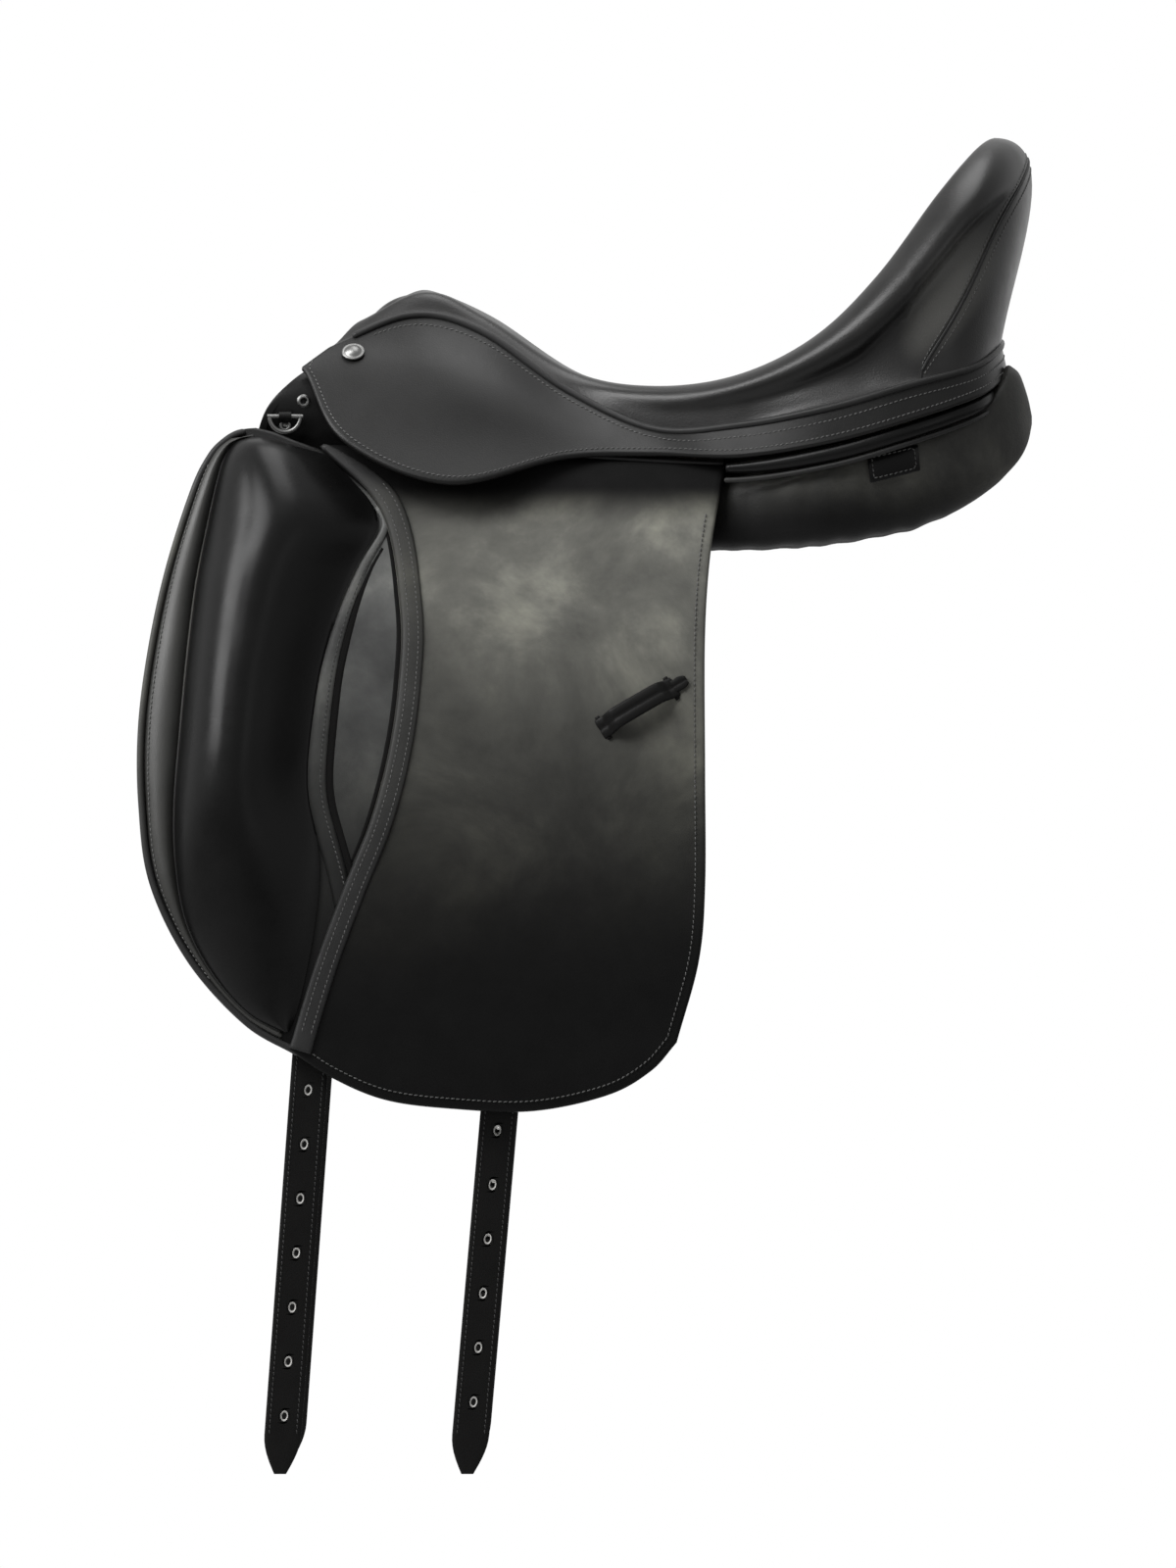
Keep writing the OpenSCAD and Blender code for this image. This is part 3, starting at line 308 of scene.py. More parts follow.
def flap_s(x, z):
    """How far out the near flap's surface stands."""
    f = np.maximum(0, (z + FLAP_DROP) / (FOLD_FRONT[1] + FLAP_DROP))
    toe = TOE_IN * np.maximum(0, (TOE_X - x) / (TOE_X - FRONT_X)) ** 2
    return FLAP_LOW_S - (FLAP_LOW_S - FOLD_S) * f * f - toe * smooth01((FOLD_FRONT[1] - z) / 120)


def on_flap(plan, out=0.0):
    """Plan points [x, z] laid on the near flap's surface, lifted outwards."""
    plan = np.asarray(plan, float)
    x, z = plan[..., 0], plan[..., 1]
    return np.stack([x, -(flap_s(x, z) + out), z], axis=-1)


def paced(points):
    """The same edge with its points at even distances."""
    line = along(points, np.linspace(0, 1, 600))
    return even(line, np.linalg.norm(np.diff(line, axis=0), axis=1).sum() / 40)


def patch(top, bottom, front, rear, rows, columns):
    """Plan points between four edges, as rows from the top edge to the bottom edge."""
    u = np.linspace(0, 1, columns)
    v = np.linspace(0, 1, rows) if np.ndim(rows) == 0 else rows
    t, b, f, r = along(top, u), along(bottom, u), along(front, v), along(rear, v)
    v, u = v[:, None, None], u[None, :, None]
    p = [np.array(q, float) for q in (top[0], top[-1], bottom[0], bottom[-1])]
    flat = (p[0] * (1 - u) + p[1] * u) * (1 - v) + (p[2] * (1 - u) + p[3] * u) * v
    return t[None] * (1 - v) + b[None] * v + f[:, None] * (1 - u) + r[:, None] * u - flat


def low(f):
    """Height at a share of the flap's drop."""
    return -FLAP_DROP * f


def across(f):
    """Place at a share of the flap's width."""
    return FRONT_X + FLAP_W * f


FLAP_FOOT, FLAP_HEEL = [across(0.274), low(0.893)], [across(0.95), low(0.88)]
FLAP_FRONT = [FOLD_FRONT, [across(0.435), 24], [across(0.469), low(0.11)], [across(0.466), low(0.245)],
              [across(0.448), low(0.37)], [across(0.416), low(0.49)], [across(0.369), low(0.608)],
              [across(0.317), low(0.75)], FLAP_FOOT]
FLAP_REAR = [FOLD_REAR, [FLAP_REAR_X + 4, 0], [FLAP_REAR_X, low(0.16)], [FLAP_REAR_X, low(0.4)],
             [FLAP_REAR_X, low(0.6)], [FLAP_REAR_X - 4, low(0.735)], FLAP_HEEL]
FLAP_LOW = [FLAP_FOOT, [across(0.345), low(0.94)], [across(0.44), low(0.98)], [across(0.56), low(0.996)],
            [across(0.7), low(1)], [across(0.83), low(0.972)], [across(0.905), low(0.93)], FLAP_HEEL]
FLAP_TOP = [FOLD_FRONT, [(FOLD_FRONT[0] + FOLD_REAR[0]) / 2, (FOLD_FRONT[1] + FOLD_REAR[1]) / 2], FOLD_REAR]
BASE_TOP, BASE_REAR_TOP = [-266, 77.6], [across(0.37), 58]
BASE_FOOT, BASE_REAR_FOOT = [across(0.282), low(0.905)], [across(0.36), low(0.93)]
BASE_FRONT = [BASE_TOP, [-278, 76], [-288, 70], [-297, 60], [across(0.094), 38], [across(0.05), low(0.035)],
              [across(0.02), low(0.175)], [across(0.002), low(0.32)], [across(0.003), low(0.46)],
              [across(0.023), low(0.6)], [across(0.09), low(0.738)], [across(0.19), low(0.85)], BASE_FOOT]
BASE_REAR = [BASE_REAR_TOP, [across(0.53), 10], [across(0.565), low(0.2)], [across(0.545), low(0.38)],
             [across(0.49), low(0.56)], [across(0.42), low(0.74)], BASE_REAR_FOOT]
BLOCK_TOP, BLOCK_FOOT = [-268, 72], [-247, -313]
BLOCK_FRONT = [BLOCK_TOP, [-278, 69], [-285, 60], [-290, 45], [-297, 13], [-304, -24], [-309.5, -70], [-314, -120],
               [-317.5, -165], [-317, -200], [-312, -234], [-302, -260], [-286, -284], [-268, -302], BLOCK_FOOT]
FLANGE_LINE = [[-187, 26], [-182, 13], [-196, -12.7], [-208, -42], [-217.9, -76.4], [-223.3, -110.8],
               [-226.4, -144.6], [-224.9, -166], [-219.8, -186], [-213, -210], [-208, -232]]
BLOCK_REAR = [[-219.7, 60], [-203, 43], [-190, 27], [-187, 12], [-201, -12.7], [-213, -42], [-222.9, -76.4],
              [-228.3, -110.8], [-231.4, -144.6], [-230, -166], [-226, -186], [-224, -212], [-228, -250],
              [-236, -290], [-243, -312]]
BLOCK_H, BLOCK_RIM = 46, 2.4
SWEAT_OUT, SWEAT_T = -21, 3
SWEAT_FRONT = [[-206, 30], [-216, low(0.2)], [-232, low(0.5)], [-214, low(0.8)]]
SWEAT_REAR = [[-28, 34], [-30, low(0.2)], [-34, low(0.5)], [-52, low(0.8)]]
SWEAT_LOW = [[-214, low(0.8)], [-170, low(0.86)], [-100, low(0.86)], [-52, low(0.8)]]

HALF_G, BAND_LOW, PANEL_D = 36, SEAT_H - 44, 58
PANEL_ROWS = [
    [-254, 73, 55.5, 90, 18, 64, 28, 56, 55.3],
    [-222, 76, 54, 99, -18, HALF_G + 12, 32, HALF_G + 6, 66],
    [-150, 66, 50, 96, -26, HALF_G + 6, 24, HALF_G - 2, 70],
    [TWIST_X, 80, 48, 96, -12, HALF_G + 2, 16, HALF_G, 54],
    [20, 95, 46, 103, -7, HALF_G, 12, HALF_G, 50],
    [rear_x(0.54), HALF_S - 3, BAND_LOW - 1, HALF_S - 8, BAND_LOW - PANEL_D - 8, HALF_G, 14, HALF_G + 2, 56],
    [rear_x(0.75), HALF_S - 2, BAND_LOW + 15, HALF_S - 13, BAND_LOW - PANEL_D + 1, HALF_G, 22, HALF_G + 2, 70],
    [rear_x(0.825), 119, 83, 107, 11, HALF_G, 27, HALF_G + 2, 76],
    [rear_x(0.886), 112, 89, 101, 19, HALF_G, 31.5, HALF_G + 2, 81],
    [rear_x(0.93), 103, 94, 96, 27, HALF_G, 36, HALF_G + 2, 92],
    [CANTLE_X - 10.7, 93, 98, 92.5, 33.5, HALF_G + 0.5, 41, HALF_G + 2, 104],
    [CANTLE_X - 3.7, 84.5, 104, 89, 39.5, HALF_G + 1.5, 46, HALF_G + 2, 115],
    [CANTLE_X + 1.8, 77, 109, 84.5, 45.5, HALF_G + 2.5, 51, HALF_G + 2, 124],
    [CANTLE_X + 6.3, 70, 111, 79, 50.5, HALF_G + 4, 55.5, HALF_G + 2, 121],
    [CANTLE_X + 10.3, 63, 108.5, 73, 56, HALF_G + 5, 60, HALF_G + 3, 116],
    [CANTLE_X + 13.6, 57.5, 102, 66, 62, HALF_G + 6.5, 65.5, HALF_G + 4.5, 106.5],
    [CANTLE_X + 16.1, 53, 95, 58.5, 69, HALF_G + 8, 71.5, HALF_G + 7, 97],
    [CANTLE_X + 17.7, 50, 87.5, 51.5, 77, HALF_G + 10, 78.5, HALF_G + 9.5, 89]]
PANEL_END = len(PANEL_ROWS) - 1


def panel_ring(t, angles, size=1.0):
    """Points round the near panel at station t: 0 degrees is the outer side, 90 the top."""
    x, s1, z1, s2, z2, s3, z3, s4, z4 = curve(PANEL_ROWS, t)
    c, s = np.cos(np.radians(angles)), np.sin(np.radians(angles))
    u = (0.5 + 0.5 * size * np.sign(c) * np.abs(c) ** (2 / 3))[:, None]
    v = (0.5 + 0.5 * size * np.sign(s) * np.abs(s) ** (2 / 3))[:, None]
    below = lerp(np.array([s3, z3]), np.array([s2, z2]), u)
    above = lerp(np.array([s4, z4]), np.array([s1, z1]), u)
    q = lerp(below, above, v)
    return np.stack([np.full(len(q), x), -q[:, 0], q[:, 1]], axis=1)


# Meshes from grids of points

def sided(points, side):
    """Near side points, or their mirror image on the off side."""
    return np.asarray(points, float) * ([1, -1, 1] if side == "right" else [1, 1, 1])


def add_piece(name, points, faces, material, closed=True, sharp=None):
    """A piece from points in millimetres, smooth but for its edges over a sharp angle."""
    mesh = bpy.data.meshes.new(name)
    mesh.from_pydata((np.asarray(points, float) * MM).tolist(), [], faces)
    shape = bmesh.new()
    shape.from_mesh(mesh)
    bmesh.ops.remove_doubles(shape, verts=shape.verts, dist=1e-6)
    if closed:
        bmesh.ops.recalc_face_normals(shape, faces=shape.faces)
    for face in shape.faces:
        face.smooth = True
    if sharp is not None:
        for edge in shape.edges:
            if len(edge.link_faces) == 2 and edge.calc_face_angle() > math.radians(sharp):
                edge.smooth = False
    shape.to_mesh(mesh)
    shape.free()
    piece = bpy.data.objects.new(name, mesh)
    bpy.context.scene.collection.objects.link(piece)
    mesh.materials.append(material)
    return piece


def grid_faces(rows, columns, first=0, wrap=False):
    """Faces of a grid of points, closed round if it wraps."""
    i, j = np.meshgrid(np.arange(rows - 1), np.arange(columns if wrap else columns - 1), indexing="ij")
    k = (j + 1) % columns
    quads = np.stack([i * columns + j, i * columns + k, (i + 1) * columns + k, (i + 1) * columns + j], axis=-1)
    return (quads.reshape(-1, 4) + first).tolist()


def grid_normals(grid, toward):
    """Unit normals of a grid, all on the side that faces toward on the whole."""
    n = unit(np.cross(np.gradient(grid, axis=1), np.gradient(grid, axis=0)))
    return n if (n @ np.asarray(toward, float)).mean() > 0 else -n


def border(rows, columns):
    """Point numbers round the edge of a grid, in order."""
    return np.r_[np.arange(columns), np.arange(1, rows) * columns + columns - 1,
                 (rows - 1) * columns + np.arange(columns - 2, -1, -1),
                 np.arange(rows - 2, 0, -1) * columns]


def walls(rows, columns):
    """Faces from the edge of a grid to the edge of the grid that follows it."""
    loop, size = border(rows, columns), rows * columns
    return np.stack([loop, np.roll(loop, -1), np.roll(loop, -1) + size, loop + size], axis=1).tolist()


def pillow(face, back, folded=False):
    """A pad between two grids of points. A folded one is open on its first column. Gives points and faces."""
    rows, columns = face.shape[:2]
    sides = walls(rows, columns)
    if folded:
        sides = [wall for wall in sides if wall[0] % columns or wall[1] % columns]
    faces = grid_faces(rows, columns) + grid_faces(rows, columns, rows * columns) + sides
    return np.vstack([face.reshape(-1, 3), back.reshape(-1, 3)]), faces


def shell(grid, thick, toward, bulge=0.5, steps=4):
    """A sheet of leather: the grid is its face, and its edge is rounded. Gives points and faces."""
    grid = np.asarray(grid, float)
    rows, columns = grid.shape[:2]
    n = grid_normals(grid, toward)
    face = grid.reshape(-1, 3)
    back = (grid - n * thick).reshape(-1, 3)
    loop = border(rows, columns)
    edge = face[loop]
    run = unit(np.roll(edge, -1, axis=0) - np.roll(edge, 1, axis=0))
    out = np.cross(run, n.reshape(-1, 3)[loop])
    if np.einsum("ij,ij->i", out, edge - face.mean(axis=0)).mean() < 0:
        out = -out
    out = unit(out)
    points, faces = [face, back], grid_faces(rows, columns) + grid_faces(rows, columns, len(face))
    rings = [loop]
    first = 2 * len(face)
    for k in range(1, steps):
        a = math.pi * k / steps
        f = (1 - math.cos(a)) / 2
        points.append(lerp(edge, back[loop], f) + out * thick * bulge * math.sin(a))
        rings.append(np.arange(first, first + len(loop)))
        first += len(loop)
    rings.append(loop + len(face))
    for a, b in zip(rings, rings[1:]):
        faces += np.stack([a, np.roll(a, -1), np.roll(b, -1), b], axis=1).tolist()
    return np.vstack(points), faces


def skin(rings):
    """A closed form through rings of points. Gives points and faces."""
    rings = np.asarray(rings, float)
    rows, columns = rings.shape[:2]
    points = np.vstack([rings.reshape(-1, 3), rings[0].mean(axis=0), rings[-1].mean(axis=0)])
    faces = grid_faces(rows, columns, wrap=True)
    ring = np.arange(columns)
    tail = (rows - 1) * columns + ring
    faces += [[rows * columns, b, a] for a, b in zip(ring, np.roll(ring, -1))]
    faces += [[rows * columns + 1, a, b] for a, b in zip(tail, np.roll(tail, -1))]
    return points, faces


def frames(path, normals=None):
    """Directions along, across and off a path."""
    path = np.asarray(path, float)
    run = unit(np.gradient(path, axis=0))
    off = np.tile(UP, (len(path), 1)) if normals is None else np.asarray(normals, float)
    cross = unit(np.cross(off, run))
    return run, cross, np.cross(run, cross)


def sweep(path, profile, normals=None, scale=None):
    """A profile of (across, off) points carried along a path. Gives points and faces."""
    path = np.asarray(path, float)
    run, cross, off = frames(path, normals)
    profile = np.asarray(profile, float)
    size = np.ones(len(path)) if scale is None else np.asarray(scale, float)
    rings = path[:, None] + size[:, None, None] * (
        cross[:, None] * profile[None, :, :1] + off[:, None] * profile[None, :, 1:])
    return skin(rings)


def round_profile(wide, tall, sides=12):
    """An oval section."""
    a = np.linspace(0, 2 * math.pi, sides, endpoint=False)
    return np.stack([wide * np.cos(a), tall * np.sin(a)], axis=1)


def tube(path, radius, normals=None, sides=12, blunt=3):
    """A round cord with domed ends. Gives points and faces."""
    path = np.asarray(path, float)
    head, tail = unit(path[0] - path[1]), unit(path[-1] - path[-2])
    domes = [math.sin(math.pi / 2 * k / blunt) for k in range(1, blunt + 1)]
    ends = [math.cos(math.pi / 2 * k / blunt) for k in range(1, blunt + 1)]
    ends[-1] = 0.05
    full = np.vstack([[path[0] + head * radius * d for d in reversed(domes)], path,
                      [path[-1] + tail * radius * d for d in domes]])
    scale = np.r_[ends[::-1], np.ones(len(path)), ends]
    if normals is not None:
        normals = np.vstack([[normals[0]] * blunt, normals, [normals[-1]] * blunt])
    return sweep(full, round_profile(radius, radius, sides), normals, scale)


def lathe(at, axis, profile, sides=32):
    """A turned form from (radius, height) points. Gives points and faces."""
    axis = unit(axis)
    u = unit(np.cross(axis, [0, 0, 1]))
    v = np.cross(axis, u)
    a = np.linspace(0, 2 * math.pi, sides, endpoint=False)
    rings = [[np.asarray(at) + axis * z + (u * math.cos(k) + v * math.sin(k)) * r for k in a] for r, z in profile]
    return skin(np.array(rings))


def merge(parts):
    """One set of points and faces from several."""
    points, faces, first = [], [], 0
    for p, f in parts:
        points.append(p)
        faces += [[k + first for k in q] for q in f]
        first += len(p)
    return np.vstack(points), faces


STITCH_RINGS = [(-0.5, 0.25), (-0.36, 0.85), (0, 1.0), (0.36, 0.85), (0.5, 0.25)]
STITCH_SIDES = 6


def stitch_row(path, normals, lift=0.0):
    """Separate stitches along a line on the leather. Gives points and faces."""
    sewing = bpy.context.scene.saddle_sewing
    pitch, length, radius = sewing.pitch / MM, sewing.length / MM, sewing.thread / MM
    line = even(np.hstack([path, normals]), pitch)
    spots = (line[:-1] + line[1:]) / 2
    run = unit(np.diff(line[:, :3], axis=0))
    n = unit(spots[:, 3:])
    cross = unit(np.cross(n, run))
    slant = math.radians(sewing.slant_deg)
    run, cross = run * math.cos(slant) + cross * math.sin(slant), cross * math.cos(slant) - run * math.sin(slant)
    a = np.linspace(0, 2 * math.pi, STITCH_SIDES, endpoint=False)
    local = np.array([(x * length, r * radius * math.cos(k), r * radius * math.sin(k))
                      for x, r in STITCH_RINGS for k in a])
    dip = radius * 0.55 * (1 - (local[:, 0] / (0.5 * length)) ** 2) - 0.15 * radius
    spots = spots[:, :3] + n * lift
    points = (spots[:, None] + run[:, None] * local[None, :, :1] + cross[:, None] * local[None, :, 1:2]
              + n[:, None] * (local[None, :, 2:] + dip[None, :, None]))
    count = len(local)
    one = grid_faces(len(STITCH_RINGS), STITCH_SIDES, wrap=True)
    one += [list(range(STITCH_SIDES))[::-1], list(range(count - STITCH_SIDES, count))]
    faces = [[k + count * s for k in q] for s in range(len(spots)) for q in one]
    return points.reshape(-1, 3), faces


def beside(line, distance):
    """A plan line moved to the left of its run, by one distance or by one for each point."""
    run = unit(np.gradient(line, axis=0))
    return line + np.stack([-run[:, 1], run[:, 0]], axis=1) * np.asarray(distance, float)[..., None]


def inset(edge, distance, step=2.0):
    """A plan line at a distance from an edge of the flap, to the left of its run for a positive one."""
    return beside(even(along(edge, np.linspace(0, 1, 400)), step), distance)


def flap_normals(plan):
    """Directions off the near flap's surface at plan points."""
    plan = np.asarray(plan, float)
    d = 1.0
    dx = on_flap(plan + [d, 0]) - on_flap(plan - [d, 0])
    dz = on_flap(plan + [0, d]) - on_flap(plan - [0, d])
    n = unit(np.cross(dx, dz))
    return np.where(n[..., 1:2] > 0, -n, n)


# Finishes

class Shade:
    """A socket of a finish; sums in Python add Math nodes."""

    def __init__(self, finish, socket):
        self.finish = finish
        self.socket = socket

    def combine(self, operation, first, second):
        return self.finish.add("ShaderNodeMath", {"operation": operation}, {0: first, 1: second})

    def __add__(self, other):
        return self.combine("ADD", self, other)

    def __sub__(self, other):
        return self.combine("SUBTRACT", self, other)

    def __mul__(self, other):
        return self.combine("MULTIPLY", self, other)


class Finish:
    """A node tree and the nodes that paint it."""

    def __init__(self, owner):
        owner.use_nodes = True
        self.owner = owner
        self.tree = owner.node_tree
        self.tree.nodes.clear()

    def add(self, kind, settings=None, sockets=None, out=0):
        node = self.tree.nodes.new(kind)
        for key, value in (settings or {}).items():
            if key == "stops":
                ramp = node.color_ramp
                while len(ramp.elements) < len(value):
                    ramp.elements.new(1.0)
                for element, (place, level) in zip(ramp.elements, value):
                    element.position = place
                    element.color = (level, level, level, 1)
            else:
                setattr(node, key, value)
        for key, value in (sockets or {}).items():
            if isinstance(value, Shade):
                self.tree.links.new(value.socket, node.inputs[key])
            else:
                node.inputs[key].default_value = value
        return Shade(self, node.outputs[out])

    def place(self):
        return self.add("ShaderNodeTexCoord", out="Object")

    def clouds(self, place, scale, detail=3.0, rough=0.55, bend=0.0):
        return self.add("ShaderNodeTexNoise", {}, {"Vector": place, "Scale": scale, "Detail": detail,
                                                   "Roughness": rough, "Distortion": bend})

    def ramp(self, value, stops):
        return self.add("ShaderNodeValToRGB", {"stops": stops}, {0: value})

    def span(self, value, low_end, high_end):
        return self.add("ShaderNodeMapRange", {"interpolation_type": "SMOOTHSTEP"},
                        {0: value, 1: low_end, 2: high_end})

    def mix(self, factor, first, second):
        return self.add("ShaderNodeMix", {"data_type": "RGBA"}, {0: factor, 6: first, 7: second}, out=2)

    def bump(self, height, distance, strength):
        return self.add("ShaderNodeBump", {}, {"Height": height, "Distance": distance, "Strength": strength})

    def surface(self, sockets):
        self.add_output("ShaderNodeOutputMaterial", self.add("ShaderNodeBsdfPrincipled", {}, sockets))
        return self.owner

    def add_output(self, kind, shader):
        node = self.tree.nodes.new(kind)
        self.tree.links.new(shader.socket, node.inputs["Surface"])


def rgb(colour, level=1.0):
    """A colour at a level, with its alpha."""
    return (colour[0] * level, colour[1] * level, colour[2] * level, 1.0)


# Place, turn, length and width of the painted highlight on the seat's flare beside the cantle, in metres.
FLARE_LIGHT_X, FLARE_LIGHT_Z, FLARE_LIGHT_TURN, FLARE_LIGHT_LONG, FLARE_LIGHT_WIDE = 0.184, 0.166, math.radians(58), 0.058, 0.024


def leather(name, colour, rough, pebble, depth, shine, wear_and_sheen=None, sheen_fade_low=-0.3, sheen_fade_high=0.0, painted_shade_from=0.05,
            painted_flare_light=None):
    """Black leather: pebbles and pores in the relief and patchy polish. A wear colour adds clouds, partly wear and
    partly painted sheen, that fade towards a low height and end at a high one, leaving painted shade above it; a flare
    colour paints one soft highlight beside the cantle."""
    f = Finish(bpy.data.materials.new(name))
    at = f.place()
    cells = f.add("ShaderNodeTexVoronoi", {"feature": "SMOOTH_F1"},
                  {"Vector": at, "Scale": 1 / pebble, "Smoothness": 0.6, "Randomness": 0.95})
    pores = f.clouds(at, 2.6 / pebble, 2.0)
    creases = f.clouds(at, 160, 4.0, 0.6, 0.6)
    mottle = f.clouds(at, 46, 4.0, 0.62)
    broad = f.clouds(at, 11, 3.0, 0.5, 0.3)
    relief = cells * 0.6 + pores * 0.35 + creases * 0.5
    tone = f.mix(mottle, rgb(colour, 0.72), rgb(colour, 1.3))
    polish = (mottle - 0.5) * 0.16 + (broad - 0.5) * 0.2 + (pores - 0.5) * 0.1 + rough
    if wear_and_sheen is not None:
        # Clouds that are partly wear and partly painted sheen, lighter towards the top where the light falls.
        height = f.add("ShaderNodeSeparateXYZ", {}, {0: at}, out="Z")
        patches = f.ramp(f.clouds(at, 9.5, 6.0, 0.62, 0.5), [(0.28, 0.34), (0.48, 0.56), (0.68, 1.0)])
        upper_sheen_fade = f.span(height, sheen_fade_low, sheen_fade_high)
        wear_sheen_mask = patches * upper_sheen_fade * upper_sheen_fade * (mottle * 0.5 + 0.75)
        # Painted shade: above a set height the clouds end, so the leather stays dark under the skirt.
        wear_sheen_mask = wear_sheen_mask * f.span(height, painted_shade_from, painted_shade_from - 0.03)
        # The brighter spots of the clouds: partly dust, partly painted sheen.
        dust_and_sheen = (wear_and_sheen[0] * 1.22, wear_and_sheen[1] * 1.21, wear_and_sheen[2] * 1.1, 1.0)
        tone = f.mix(wear_sheen_mask, tone, f.mix(patches * patches, rgb(wear_and_sheen, 0.85), dust_and_sheen))
        polish = polish + wear_sheen_mask * 0.1
    # Painted highlight: a soft, lighter spot on the seat's flare beside the cantle.
    if painted_flare_light is not None:
        x = f.add("ShaderNodeSeparateXYZ", {}, {0: at}, out="X") - FLARE_LIGHT_X
        z = f.add("ShaderNodeSeparateXYZ", {}, {0: at}, out="Z") - FLARE_LIGHT_Z
        run = (x * math.cos(FLARE_LIGHT_TURN) + z * math.sin(FLARE_LIGHT_TURN)) * (1 / FLARE_LIGHT_LONG)
        off = (z * math.cos(FLARE_LIGHT_TURN) - x * math.sin(FLARE_LIGHT_TURN)) * (1 / FLARE_LIGHT_WIDE)
        tone = f.mix(f.span(run * run + off * off, 1.0, 0.0) * (mottle * 0.4 + 0.8), tone, rgb(painted_flare_light))
    return f.surface({"Base Color": tone, "Roughness": polish, "Normal": f.bump(relief, depth, 0.55),
                      "Specular IOR Level": shine})


def thread(name, colour):
    """Waxed thread: fine plies along and across the stitch."""
    f = Finish(bpy.data.materials.new(name))
    at = f.place()
    plies = f.clouds(at, 2400, 2.0)
    wax = f.clouds(at, 130, 3.0)
    tone = f.mix(plies, rgb(colour, 0.6), rgb(colour, 1.4))
    return f.surface({"Base Color": tone, "Roughness": wax * 0.25 + 0.42, "Specular IOR Level": 0.35,
                      "Normal": f.bump(plies, 0.0002, 0.5)})


def metal(name, colour, rough, streak):
    """Plated or rolled steel: fine drawn streaks and small handling marks."""
    f = Finish(bpy.data.materials.new(name))
    at = f.place()
    drawn = f.add("ShaderNodeMapping", {}, {"Vector": at, "Scale": (60.0, 1400.0, 1400.0)})
    lines = f.clouds(drawn, 1.0, 3.0)
    marks = f.clouds(at, 300, 5.0, 0.7)
    tone = f.mix(marks, rgb(colour, 0.82), rgb(colour, 1.06))
    return f.surface({"Base Color": tone, "Metallic": 1.0, "Roughness": lines * streak + marks * 0.1 + rough,
                      "Normal": f.bump(lines, 0.00004, 0.4)})


def beech(name, colour):
    """Laminated beech: thin plies with flecked grain along the tree."""
    f = Finish(bpy.data.materials.new(name))
    at = f.place()
    long = f.add("ShaderNodeMapping", {}, {"Vector": at, "Scale": (14.0, 260.0, 260.0)})
    grain = f.clouds(long, 1.0, 5.0, 0.65, 0.4)
    flecks = f.ramp(f.clouds(long, 4.0, 2.0), [(0.5, 0.0), (0.66, 1.0)])
    tone = f.mix(grain * 0.7 + flecks * 0.3, rgb(colour, 1.15), rgb(colour, 0.55))
    return f.surface({"Base Color": tone, "Roughness": grain * 0.2 + 0.45,
                      "Normal": f.bump(grain, 0.0002, 0.4), "Specular IOR Level": 0.4})


def woven(name, colour):
    """Woven web: crossed threads with a slubby weft."""
    f = Finish(bpy.data.materials.new(name))
    at = f.place()
    warp = f.add("ShaderNodeTexWave", {"bands_direction": "X"}, {"Vector": at, "Scale": 260.0, "Distortion": 0.6})
    weft = f.add("ShaderNodeTexWave", {"bands_direction": "Y"}, {"Vector": at, "Scale": 260.0, "Distortion": 0.9})
    slub = f.clouds(at, 420, 3.0)
    weave = warp * weft + slub * 0.3
    tone = f.mix(weave, rgb(colour, 0.5), rgb(colour, 1.1))
    return f.surface({"Base Color": tone, "Roughness": slub * 0.15 + 0.8, "Specular IOR Level": 0.2,
                      "Normal": f.bump(weave, 0.0006, 0.8)})


def latex(name, colour):
    """Latex foam: open pores and a slightly yellowed skin."""
    f = Finish(bpy.data.materials.new(name))
    at = f.place()
    pores = f.add("ShaderNodeTexVoronoi", {"feature": "F1"}, {"Vector": at, "Scale": 520.0})
    age = f.clouds(at, 24, 4.0)
    tone = f.mix(age, rgb(colour, 0.85), rgb(colour, 1.08))
    return f.surface({"Base Color": tone, "Roughness": age * 0.1 + 0.78, "Specular IOR Level": 0.25,
                      "Normal": f.bump(pores, 0.0008, 0.6)})


FINISHES = {}


